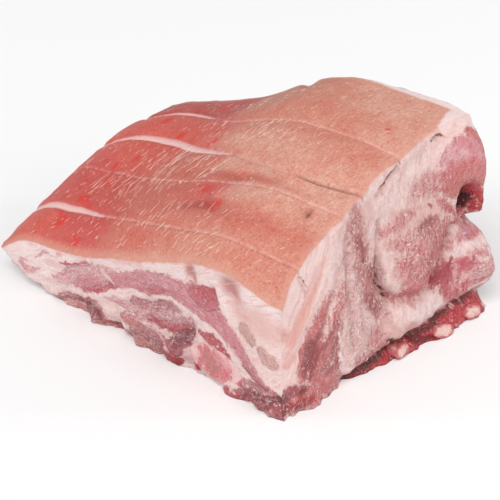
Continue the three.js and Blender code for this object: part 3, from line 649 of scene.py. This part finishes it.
def tissue(strokes, layers, rags, u, v):
    """Share of lean, lean colour, fat colour, white grain and fibre coordinates on a cut face."""
    lean, grain = np.full(u.shape, NO_LEAN), np.zeros(u.shape)
    lean_tint = np.tile(PAINT["rosy"], (len(u), 1))
    fat_tint = np.tile(PAINT["milk"], (len(u), 1))
    along, aside = u * layers[0] + v * layers[1], v * layers[0] - u * layers[1]
    for number, (colour, white, path) in enumerate(strokes):
        depth, run, side = stroke_field(path, u, v)
        widest = max(half for _, _, half in path)
        soft = np.clip(mix(0.1, 0.5, rags) * widest, 0.8, 4) * (0.4 if colour in DEEP_COLOURS else 1)
        if colour in FAT_COLOURS:
            lean = np.minimum(lean, -depth / soft)
            blur = np.clip(0.7 * widest, 1, 6)
            fat_tint = mix(fat_tint, PAINT[colour], step(-blur, blur, depth)[:, None])
            continue
        share = np.where(lean < -1, step(-3 * soft, -soft, depth), step(-soft, soft, depth))
        lean = np.maximum(lean, depth / soft)
        lean_tint = mix(lean_tint, PAINT[colour], share[:, None])
        grain = mix(grain, white, share)
        if rags < 0.5:
            along = np.where(depth > -1, run + 53 * number, along)
            aside = np.where(depth > -1, side, aside)
    return lean, lean_tint, fat_tint, grain, np.stack([along * 0.35, aside, 0 * u], -1)


def rind_tint(a, b):
    """Colour of the rind, mixed from its patches."""
    weight, tint = 1e-4, 1e-4 * PAINT["peach"] * np.ones((len(a), 1))
    for colour, p, q, r, s in RIND_PATCHES:
        w = (1 + ((a - p) / r) ** 2 + ((b - q) / s) ** 2) ** -3
        weight, tint = weight + w, tint + w[:, None] * PAINT[colour]
    return tint / weight[:, None]


def paint_cuts(p, on):
    """What is stored at the points of the cut faces, and how smooth the flesh is there."""
    x, y, z = p.T
    faces = (
        (on["floor"], UNDER_STROKES, PLAIN_LAYERS, 0.8, x, y),
        (on["back"], BACK_STROKES, PLAIN_LAYERS, 0.7, x, z),
        (on["left"], LEFT_STROKES, PLAIN_LAYERS, 0.5, y, z),
        (on["front"], FRONT_STROKES, FRONT_LAYERS, 0.2, x, z),
        (on["right"], RIGHT_STROKES, RIGHT_LAYERS, 1.0, y, z),
    )
    count = len(p)
    lean, grain, torn, flow = np.full(count, NO_LEAN), np.zeros(count), np.zeros(count), np.zeros((count, 3))
    lean_tint, fat_tint = np.tile(PAINT["rosy"], (count, 1)), np.tile(PAINT["milk"], (count, 1))
    bend_u, bend_v = (
        2.2 * lumps(p, 13, seed) + 1.1 * lumps(p, 5, seed + 1) + 0.9 * lumps(p, 2.8, seed + 2)
        for seed in (21, 31)
    )
    for here, strokes, layers, rags, u, v in faces:
        found = tissue(strokes, layers, rags, u[here] + bend_u[here], v[here] + bend_v[here])
        lean[here], lean_tint[here], fat_tint[here], grain[here], flow[here] = found
        torn[here] = rags
    torn = np.where(on["right"], mix(0.25, 1, step(-62, -46, y)), torn)
    under_seam = np.interp(x, *zip(*WHITE_SEAM)) - z
    torn = np.where(on["front"], mix(0.2, 0.8, step(-2, 4, under_seam)), torn)
    film = np.where(on["right"], np.clip(swell_sum(SMOOTH_FLESH, y, z), 0, 1), 0)
    torn = torn * (1 - 0.75 * film)
    torn = np.maximum(torn, 0.9 * np.exp(-(z / TORN_RISE) ** 2))
    strip_top = np.interp(y, *zip(*RIB_STRIP))
    torn = np.where(on["right"] & (z < strip_top), 0.1, torn)
    cuts = {"lean": lean, "torn": torn, "grain": grain, "lean_tint": lean_tint, "fat_tint": fat_tint,
            "flow": flow * MM}
    return cuts, film


def paint_rind(a, b):
    """What is stored at the points of the rind: how far inside it they are, and its marks, painted shade
    along the score cuts among them.
    """
    reach = rind_reach(a)
    bare_back, bare_corner = BARE_BACK * step(0.62, 0.9, a), BARE_CORNER * step(0.8, 0.97, b)
    bare = np.minimum((1 - b) * reach - bare_back, (1 - a) * RIND_LONG - bare_corner)
    skin = np.minimum(rind_edge(a, b), bare)
    slit, painted_cut_shade, pale = np.full(a.shape, NO_SLIT), np.zeros(a.shape), np.zeros(a.shape)
    for score in SCORES:
        d, wide = across(score, a, b), gape(score, a)
        slit = np.maximum(slit, np.where(wide > 0.5, wide - np.abs(d), NO_SLIT))
        # Painted shade: a faint dark line just in front of each cut, and a strong one in the cut where it
        # turns dark.
        dark = step(score["dark"], score["dark"] + 0.06, a)
        painted_cut_shade = np.maximum(painted_cut_shade, (0.12 + 0.88 * dark) * np.exp(-((d + 0.9 * (1 - dark)) / 0.9) ** 2))
        pale = np.maximum(pale, (1 - dark) * np.exp(-((d - 0.4) / 0.8) ** 2))
    blots = sum(
        np.exp(-(((a - p) * RIND_LONG / r) ** 2 + ((b - q) * reach / r) ** 2)) for p, q, r in RIND_BLOTS
    )
    return {"skin": skin, "slit": slit, "painted_cut_shade": painted_cut_shade, "pale": pale, "blot": blots,
            "skin_tint": rind_tint(a, b)}


def wall_relief(p, cuts, film):
    """How far the right, left, back and front walls stand out at each point, and how deep in a fold it is,
    which sets the painted shade in the folds.
    """
    x, y, z = p.T
    lean, torn = cuts["lean"], cuts["torn"]
    rough = (np.clip(lean / 2, 0, 1) * 0.8 + 0.3) * (1 - 0.6 * film)
    fine = rough * (1.1 * lumps(p, 9, 3) + 0.6 * lumps(p, 4.5, 4))
    fine = fine + torn * (0.9 * lumps(p, 6.5, 9) + 0.6 * lumps(p, 3.6, 10))
    fine = fine + torn * step(0.5, -1.5, lean) * (1.3 * lumps(p, 9, 15) + 0.5 * lumps(p, 5, 16))
    trim = fine + (2.4 * lumps(p, 8, 5) + 1.4 * lumps(p, 4, 12)) * np.exp(-z / TRIM_RISE)
    folded = fold_sum(RIGHT_FOLDS, y, z)
    by_ribs = sum(
        np.exp(-(((y - rib["y"]) / (rib["half"] + 1)) ** 2 + ((z - rib["z"]) / 5) ** 2) ** 2) for rib in RIBS
    )
    by_bone = np.exp(-(((x - BONE["x"]) / 27) ** 2 + ((z - BONE["z"]) / 15) ** 2) ** 2)
    right = swell_sum(RIGHT_SWELLS, y, z) + folded + ragged(y, z, 1.3)
    right = right + trim * (1 - by_ribs) - RIB_SINK * by_ribs
    left = swell_sum(LEFT_SWELLS, y, z) + ragged(y, z, 2.2) + trim
    back = swell_sum(BACK_SWELLS, x, z) + ragged(x, z, 3.1) + trim
    front = swell_sum(FRONT_SWELLS, x, z)
    front = front + (ragged(x, z, 0.4) + trim) * (1 - by_bone) - BONE_SINK * by_bone
    return right, left, back, front, np.clip(-folded / 6, 0, 1)


def build_meat():
    cells = (CELLS_X, CELLS_Y, CELLS_Z)
    bm = lattice(cells)
    i, k, l = lattice_steps(bm, cells).T
    a, c = i / CELLS_X, l / CELLS_Z
    b = row_share(k, a)
    under, over = corner_mix(UNDERSIDE, a, b), rind_point(a, b)
    p = under + (over - under) * c[:, None]
    on = {"right": i == CELLS_X, "left": i == 0, "back": k == CELLS_Y, "front": k == 0, "floor": l == 0}
    top = l == CELLS_Z

    cuts, film = paint_cuts(p, on)
    marks = paint_rind(a, b)
    marks["skin"] = np.where(top, marks["skin"], -(1 - c) * np.linalg.norm(over - under, axis=1))
    marks["slit"] = np.where(top, marks["slit"], NO_SLIT)
    right, left, back, front, deep = wall_relief(p, cuts, film)

    moved = p.copy()
    moved[:, 0] += right * a ** 8 - left * (1 - a) ** 8
    moved[:, 1] += back * b ** 8 - front * (1 - b) ** 8
    moved[:, 2] += rind_relief(a, b, p) * c ** 6
    from_corner = np.hypot((1 - a) * RIND_LONG, b * rind_reach(a))
    roll_share = step(0, 0.15, c) * (1 - 0.6 * c ** 4)
    roll = CORNER_ROLL * roll_share * np.exp(-(from_corner / CORNER_REACH) ** 2)
    moved[:, 0] -= roll
    moved[:, 1] += roll
    from_cap = np.hypot((1 - a) * RIND_LONG, (1 - b) * rind_reach(a))
    moved[:, 2] -= CAP_DROP * c ** 6 * np.exp(-(from_cap / CAP_REACH) ** 2)
    # The depth in the folds of the right-hand cut is stored for the painted shade there.
    return to_object("shoulder", bm, moved, {**marks, **cuts, "deep": np.where(on["right"], deep, 0)})


meat = build_meat()


class Field:
    """A shader socket that can be used in sums."""

    def __init__(self, tree, socket=None):
        self.tree, self.socket = tree, socket

    def make(self, kind, inputs, out=0, **settings):
        """A new node in this tree, read at one of its outputs."""
        node = self.tree.nodes.new(kind)
        for key, value in settings.items():
            setattr(node, key, value)
        for key, value in inputs.items():
            if isinstance(value, Field):
                self.tree.links.new(value.socket, node.inputs[key])
            else:
                node.inputs[key].default_value = value
        return Field(self.tree, node.outputs[out])

    def math(self, operation, *others):
        return self.make("ShaderNodeMath", dict(enumerate((self, *others))), operation=operation)

    def __add__(self, other):
        return self.math("ADD", other)

    def __sub__(self, other):
        return self.math("SUBTRACT", other)

    def __mul__(self, other):
        return self.math("MULTIPLY", other)

    def __rsub__(self, other):
        return self.math("MULTIPLY", -1.0).math("ADD", other)

    __radd__ = __add__
    __rmul__ = __mul__

    def step(self, low, high):
        inputs = {"Value": self, "From Min": low, "From Max": high}
        return self.make("ShaderNodeMapRange", inputs, interpolation_type="SMOOTHSTEP")

    def mix(self, first, second, blend="MIX"):
        """From the first colour at 0 to the second at 1."""
        inputs = {0: self, 6: first, 7: second}
        return self.make("ShaderNodeMix", inputs, 2, data_type="RGBA", blend_type=blend)

    def paint(self, under, name):
        """Lays a named colour over another."""
        return self.mix(under, rgba(name))

    def tint(self, under, name):
        """Multiplies a colour by a named tint."""
        return self.mix(under, (*TINTS[name], 1.0), "MULTIPLY")

    def stretch(self, scale):
        return self.make("ShaderNodeMapping", {"Vector": self, "Scale": scale})

    def noise(self, size, detail=3.0, rough=0.55):
        """Noise with features of that size in mm, from about 0 to 1, read at this place."""
        inputs = {"Vector": self, "Scale": 1000 / size, "Detail": detail, "Roughness": rough}
        return self.make("ShaderNodeTexNoise", inputs)


def new_material(name, fixed):
    """A material whose shader has these fixed inputs."""
    material = bpy.data.materials.new(name)
    material.use_nodes = True
    tree = material.node_tree
    shader = tree.nodes["Principled BSDF"]
    for key, value in fixed.items():
        shader.inputs[key].default_value = value
    return material, tree, shader


def stored(tree, name, out="Fac"):
    """A value that is stored on the piece's vertices."""
    return Field(tree).make("ShaderNodeAttribute", {}, out, attribute_name=name)


def place_of(tree):
    return Field(tree).make("ShaderNodeTexCoord", {}, "Object")


def shade(tree, shader, colour, rough, height, depth):
    """Links the colour, the roughness and a bump of that depth in mm."""
    tree.links.new(colour.socket, shader.inputs["Base Color"])
    tree.links.new(rough.socket, shader.inputs["Roughness"])
    bump = height.make("ShaderNodeBump", {"Height": height, "Distance": depth * MM})
    tree.links.new(bump.socket, shader.inputs["Normal"])


def rgba(name):
    return (*PAINT[name], 1.0)


def rind_colour(tree, place, broad, middle, small, skin_edge):
    rind = stored(tree, "skin_tint", "Vector")
    mottle = place.noise(9, 5.0, 0.65)
    rind = (broad.step(0.42, 0.7) * 0.7).tint(rind, "flushed")
    rind = (mottle.step(0.5, 0.66) * 0.7).tint(rind, "mottled")
    rind = (mottle.step(0.47, 0.32) * 0.8).tint(rind, "faded")
    lines = place.stretch((1, 0.2, 0.6)).noise(1.9, 2.0, 0.5)
    rind = (lines.step(0.48, 0.66) * 0.8).tint(rind, "scraped")
    rind = (small.step(0.46, 0.7) * 0.7).tint(rind, "dimpled")
    pores = place.noise(1.7, 1.0, 0.5)
    rind = (pores.step(0.52, 0.68) * 0.8).tint(rind, "pored")
    rind = (pores.step(0.48, 0.32) * 0.7).tint(rind, "taut")
    blot = (stored(tree, "blot") * mottle.step(0.34, 0.6) + (small - 0.5) * 0.4).step(0.15, 0.6)
    rind = (blot * 0.8).paint(rind, "scarlet")
    # Painted shade along the score cuts.
    rind = (stored(tree, "painted_cut_shade") * 0.8).paint(rind, "umber_shade")
    rind = (stored(tree, "pale") * middle.step(0.3, 0.6) * 0.38).paint(rind, "slit")
    rind = (skin_edge.step(7.0, 0.0) * 0.5).paint(rind, "cream_and_highlight")
    slit = stored(tree, "slit") + (small - 0.5) * 0.8 + (middle - 0.5) * 0.8
    opened = slit.step(0.0, 2.4).paint(rgba("gristle"), "slit")
    return slit.step(-0.8, 0.5).mix(rind, opened), lines + pores * 0.7


def fat_colour(tree, place, flow, broad, crumb, speckle, skin_edge, lean_edge):
    fat = stored(tree, "fat_tint", "Vector")
    torn = stored(tree, "torn")
    whole = 1 - torn * 0.8
    fat = (broad.step(0.45, 0.8) * 0.3).paint(fat, "blush")
    streak = flow.stretch((0.3, 1, 1)).noise(2.4, 2.0, 0.55)
    fat = (streak.step(0.5, 0.62) * whole * 0.6).paint(fat, "blush")
    fat = (streak.step(0.56, 0.68) * whole * 0.5).paint(fat, "apricot")
    clump = place.noise(4.0, 3.0, 0.6)
    fat = (clump.step(0.5, 0.68) * torn * 0.7).tint(fat, "clumped")
    fat = (clump.step(0.46, 0.34) * torn * 0.6).tint(fat, "waxy")
    fat = (streak.step(0.44, 0.32) * whole * 0.5).tint(fat, "waxy")
    veil = flow.noise(6.0, 5.0, 0.62)
    fat = (veil.step(0.44, 0.68) * torn * 0.6).paint(fat, "gristle")
    fat = (crumb.step(0.5, 0.36) * (0.1 + torn * 0.3)).tint(fat, "crumbled")
    fat = (speckle.step(0.54, 0.7) * (0.3 + torn * 0.2)).tint(fat, "specked")
    fat = (skin_edge.step(-4.0, -0.5) * 0.2).paint(fat, "apricot")
    return (lean_edge.step(-2.5, 0.0) * 0.35).paint(fat, "crumb")


def lean_colour(tree, place, flow, broad, middle, crumb, speckle):
    lean = stored(tree, "lean_tint", "Vector")
    grain = stored(tree, "grain")
    torn = stored(tree, "torn")
    fibre = flow.noise(2.4, 2.0, 0.55)
    coarse = 0.35 + grain
    lean = (fibre.step(0.5, 0.66) * coarse).tint(lean, "fibrous")
    lean = (fibre.step(0.48, 0.34) * coarse).tint(lean, "glossy")
    lean = (middle.step(0.5, 0.75) * 0.5).tint(lean, "bruised")
    lean = (crumb.step(0.46, 0.32) * (0.3 + torn * 0.3)).tint(lean, "clotted")
    veil = flow.noise(3.6, 5.0, 0.66) + grain * 0.12
    lean = (veil.step(0.5, 0.7) * (0.06 + grain * 0.85)).paint(lean, "silver")
    streak = flow.noise(2.2, 4.0, 0.62) + grain * 0.12
    lean = (streak.step(0.62, 0.74) * 0.6).paint(lean, "ivory")
    clot = crumb + grain * 0.07
    lean = (clot.step(0.62, 0.7) * 0.5).paint(lean, "crumb")
    fleck = place.noise(2.2, 2.0, 0.55) + grain * 0.08
    lean = (fleck.step(0.44, 0.32) * (0.2 + grain)).tint(lean, "flecked")
    patchy = broad.step(0.38, 0.6)
    # Clustered white specks of frost and fat, which also stand in for wet glints: partly painted highlight.
    frost_and_glints = fleck.step(0.58, 0.68) * patchy * (0.3 + torn * 0.6)
    lean = frost_and_glints.paint(lean, "ivory")
    lean = (speckle.step(0.52, 0.68) * patchy * (0.1 + grain)).tint(lean, "dark_speck")
    lean = (speckle.step(0.46, 0.32) * patchy * (0.1 + grain)).tint(lean, "light_speck")
    return lean, fibre + fleck * 0.6


def meat_material():
    material, tree, shader = new_material("raw_shoulder", MEAT_SHADER)
    place = place_of(tree)
    flow = stored(tree, "flow", "Vector")
    torn = stored(tree, "torn")
    broad, middle, small = place.noise(16), place.noise(5), place.noise(1.6)
    crumb = place.noise(3.2, 6.0, 0.68)
    speckle = place.noise(1.5, 0.5, 0.5)

    skin_edge = stored(tree, "skin") + (middle - 0.5) * 2.4
    skin = skin_edge.step(-2.2, 0.2)
    ragged_edge = (crumb - 0.5) * (3.0 + torn * 3.0) + (middle - 0.5) * 1.6
    lean_edge = stored(tree, "lean") + ragged_edge + (flow.noise(2.4, 3.0, 0.6) - 0.5) * 1.4
    lean = (lean_edge * (2.2 - torn * 1.4)).step(-1.0, 1.0)

    rind, lines = rind_colour(tree, place, broad, middle, small, skin_edge)
    fat = fat_colour(tree, place, flow, broad, crumb, speckle, skin_edge, lean_edge)
    flesh, fibre = lean_colour(tree, place, flow, broad, middle, crumb, speckle)

    colour = lean.mix(fat, flesh)
    # Painted shade in the folds of the right-hand cut, darker the deeper the fold.
    colour = (stored(tree, "deep") * 0.55).tint(colour, "folded")
    colour = skin.mix(colour, rind)
    rough = 0.26 + middle * 0.16 + skin * 0.18 - lean * 0.06
    cut_height = lean * (fibre * 0.6 + small * 0.6 - 0.75) + crumb * (0.5 + torn * 0.7) + small * 0.3
    height = (1 - skin) * cut_height + skin * (lines * 0.36 + small * 0.3)
    shade(tree, shader, colour, rough, height, 1.7)
    return material


meat.data.materials.append(meat_material())
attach(meat, "root")
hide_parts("meat")


def build_bar(name, cells, section):
    """A rounded bar: section(s, u, v) gives points for s along it and u, v inside a unit disc."""
    bm = lattice(cells)
    share = lattice_steps(bm, cells) / np.array(cells)
    u, v = 2 * share[:, 0] - 1, 2 * share[:, 1] - 1
    disc_u, disc_v = u * np.sqrt(1 - v * v / 2), v * np.sqrt(1 - u * u / 2)
    points = section(share[:, 2], disc_u, disc_v)
    rim = 1 - np.hypot(disc_u, disc_v)
    return to_object(name, bm, points, {"rim": rim, "along": disc_u, "up": disc_v})


def bone_section(s, u, v):
    end = np.sqrt(1 - np.maximum(0, (s - 0.86) / 0.16) ** 2)
    joint = 1 + 0.06 * np.cos(2 * np.pi * BONE_JOINTS * s)
    u = BONE["half"] * mix(1, 0.7, s) * joint * end * u
    v = BONE["thick"] * mix(1, 0.8, s) * joint * end * v
    turn = BONE["tilt"]
    x = BONE["x"] + BONE["drift"] * s + u * math.cos(turn) - v * math.sin(turn)
    z = BONE["z"] + u * math.sin(turn) + v * math.cos(turn)
    y = mix(BONE["front"], BONE["back"], s)
    p = np.stack([x, y, z], -1)
    shift = np.stack([lumps(p, 9, 6), 0.4 * lumps(p, 5, 8), lumps(p, 9, 7)], -1)
    return p + 1.2 * shift


def rib_section(rib):
    def section(s, u, v):
        swell = 1 + 0.12 * np.cos(np.pi * s)
        y = rib["y"] - rib["half"] * swell * u
        z = rib["z"] + rib["thick"] * swell * v
        x = mix(RIB_INNER, rib["outer"] - RIB_SLANT * (z - rib["z"]), s)
        p = np.stack([x, y, z], -1)
        p = p + 1.5 * np.stack([lumps(p, 5, 6), lumps(p, 7, 7), 0.7 * lumps(p, 6, 8)], -1)
        p[:, 2] = np.maximum(p[:, 2], 0.1)
        return p

    return section


def breast_bone_material():
    material, tree, shader = new_material("raw_breast_bone", BONE_SHADER)
    place = place_of(tree)
    middle, small = place.noise(4.5, 4.0, 0.6), place.noise(2.2, 2.0, 0.6)
    rim = stored(tree, "rim") + (middle - 0.5) * 1.3
    along = stored(tree, "along") + (middle - 0.5) * 0.9
    colour = (small.step(0.4, 0.62) * 0.6).paint(rgba("marrow"), "cartilage")
    inside = rim.step(0.2, 0.55) * along.step(0.4, 0.0) * along.step(-0.8, -0.4)
    colour = (inside * 0.7).paint(colour, "sponge")
    colour = (middle.step(0.52, 0.66) * 0.55).paint(colour, "berry")
    high = stored(tree, "up") + (middle - 0.5) * 0.9
    colour = (high.step(0.1, 0.5) * along.step(-0.1, 0.3) * 0.7).paint(colour, "bone")
    colour = (rim.step(0.26, 0.04) * 0.7).paint(colour, "sinew")
    colour = (along.step(-0.5, -0.8) * 0.8).paint(colour, "sinew")
    colour = along.step(0.56, 0.7).paint(colour, "sinew")
    colour = (along.step(0.82, 0.92) * high.step(0.4, 0.0)).paint(colour, "berry")
    colour = (small.step(0.44, 0.32) * 0.5).tint(colour, "spongy")
    colour = (small.step(0.58, 0.7) * 0.4).paint(colour, "bone")
    shade(tree, shader, colour, 0.32 + small * 0.25, small + middle * 0.6, 0.9)
    return material


def rib_material():
    material, tree, shader = new_material("raw_rib", BONE_SHADER)
    place = place_of(tree)
    middle, small = place.noise(4.0, 4.0, 0.6), place.noise(1.2, 4.0, 0.7)
    patches = place.noise(7.0, 3.0, 0.6)
    rim = stored(tree, "rim") + (middle - 0.5) * 1.5 + (patches - 0.5) * 1.4
    colour = (middle.step(0.48, 0.6) * 0.7).paint(rgba("rib"), "apricot")
    colour = (rim.step(0.5, 0.25) * 0.6).paint(colour, "flush")
    colour = (rim.step(0.25, 0.05) * 0.8).paint(colour, "ruby")
    colour = (small.step(0.5, 0.66) * 0.6).paint(colour, "bone")
    shade(tree, shader, colour, 0.36 + small * 0.2, small + middle * 0.6, 0.9)
    return material


bone_paint, rib_paint = breast_bone_material(), rib_material()
bone = build_bar("sawn_breastbone", BONE_CELLS, bone_section)
ribs = [(build_bar("sawn_" + rib["name"], RIB_CELLS, rib_section(rib)), rib["name"]) for rib in RIBS]
for piece, node in [(bone, "breast_bone"), *ribs]:
    piece.data.materials.append(bone_paint if piece == bone else rib_paint)
    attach(piece, "root")
    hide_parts(node)


def unit(way):
    return way / np.linalg.norm(way, axis=1)[:, None]


def new_piece(name, bm):
    mesh = bpy.data.meshes.new(name)
    bm.to_mesh(mesh)
    bm.free()
    piece = bpy.data.objects.new(name, mesh)
    bpy.context.scene.collection.objects.link(piece)
    return piece


def build_bristles():
    """Bristles rooted in the rind, each of two thin cones with a kink between them."""
    a, b = rng.uniform(0.02, 0.97, BRISTLE_TRIES), rng.uniform(0.02, 0.95, BRISTLE_TRIES)
    thick = sum(np.exp(-((a - p) / r) ** 2 - ((b - q) / s) ** 2) for p, q, r, s in THICKETS)
    stubble = rng.uniform(0, 1, BRISTLE_TRIES) < STUBBLE_SHARE
    keep = stubble | (rng.uniform(0, 1, BRISTLE_TRIES) < 0.03 + 0.34 * thick)
    a, b, thick, stubble = a[keep], b[keep], thick[keep], stubble[keep]
    count = len(a)
    root = rind_point(a, b)
    root[:, 2] += rind_relief(a, b, root)
    along = unit(rind_point(a, b + 0.01) - rind_point(a, b))
    side = unit(rind_point(a + 0.01, b) - rind_point(a, b))
    up = np.cross(side, along)
    turn = mix(0.8, 0.25, step(0.03, 0.25, b)) + 0.4 * lumps(root, 45, 14) + rng.normal(0, 0.2, count)
    lift, kink = rng.uniform(0.02, 0.13, count), rng.normal(0, 0.22, count)
    length = rng.uniform(2.5, 6, count) + 8 * rng.uniform(0, 1, count) ** 2 * np.clip(thick + 0.2, 0, 1)
    length = np.where(stubble, rng.uniform(1.2, 2.6, count), length)
    bm = bmesh.new()
    start = root - CENTRE
    for part, (wide, thin) in enumerate(BRISTLE_RADII):
        way = along * np.cos(turn + part * kink)[:, None] + side * np.sin(turn + part * kink)[:, None]
        way = unit(way + up * (lift * (1 - 0.8 * part))[:, None])
        for at, heading, long in zip(start, way, length / 2):
            turn_to = Vector(heading).to_track_quat("Z", "Y").to_matrix().to_4x4()
            spot = Matrix.Translation(Vector(at + heading * long / 2) * MM) @ turn_to
            bmesh.ops.create_cone(bm, cap_ends=True, segments=4, radius1=wide * MM, radius2=thin * MM,
                                  depth=long * MM, matrix=spot)
        start = start + way * (length / 2)[:, None]
    return new_piece("bristles", bm)


bristles = build_bristles()
hair = new_material("pale_bristle", {"Base Color": (0.9, 0.78, 0.69, 1), "Roughness": 0.4})[0]
bristles.data.materials.append(hair)
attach(bristles, "root")


def build_floor():
    bm = bmesh.new()
    bmesh.ops.create_grid(bm, x_segments=1, y_segments=1, size=FLOOR_HALF)
    floor = new_piece("floor", bm)
    matt = {"Base Color": (0.9, 0.9, 0.9, 1), "Roughness": 0.9, "Specular IOR Level": 0.0}
    floor.data.materials.append(new_material("pale_floor", matt)[0])


def aim_from(item, place, target):
    """Puts a lamp or the camera at a place and turns it to a target."""
    item.location = place
    item.rotation_euler = (Vector(target) - Vector(place)).to_track_quat("-Z", "Y").to_euler()
    bpy.context.scene.collection.objects.link(item)


def add_lamp(name, kind, place, power, soft):
    """A lamp aimed at the roast: a sun's softness is an angle, an area lamp's a width in metres."""
    light = bpy.data.lights.new(name, kind)
    light.energy = power
    if kind == "SUN":
        light.angle = soft
    else:
        light.size = soft
    aim_from(bpy.data.objects.new(name, light), place, LAMP_TARGET)


def add_camera():
    azimuth, elevation = math.radians(CAMERA["azimuth"]), math.radians(CAMERA["elevation"])
    back = Vector((math.sin(azimuth) * math.cos(elevation), -math.cos(azimuth) * math.cos(elevation),
                   math.sin(elevation)))
    aim = Vector(CAMERA["aim"])
    camera = bpy.data.objects.new("camera", bpy.data.cameras.new("camera"))
    camera.data.lens = CAMERA["lens"]
    aim_from(camera, aim + back * CAMERA["away"], aim - Vector((0, 0, CAMERA["drop"])))
    bpy.context.scene.camera = camera


def add_sky():
    world = bpy.data.worlds.new("studio")
    world.use_nodes = True
    sky = world.node_tree.nodes["Background"]
    sky.inputs["Color"].default_value = (1, 1, 1, 1)
    sky.inputs["Strength"].default_value = SKY_STRENGTH
    bpy.context.scene.world = world


build_floor()
for lamp in LAMPS:
    add_lamp(*lamp)
add_sky()
bpy.context.scene.view_settings.view_transform = "Standard"
add_camera()
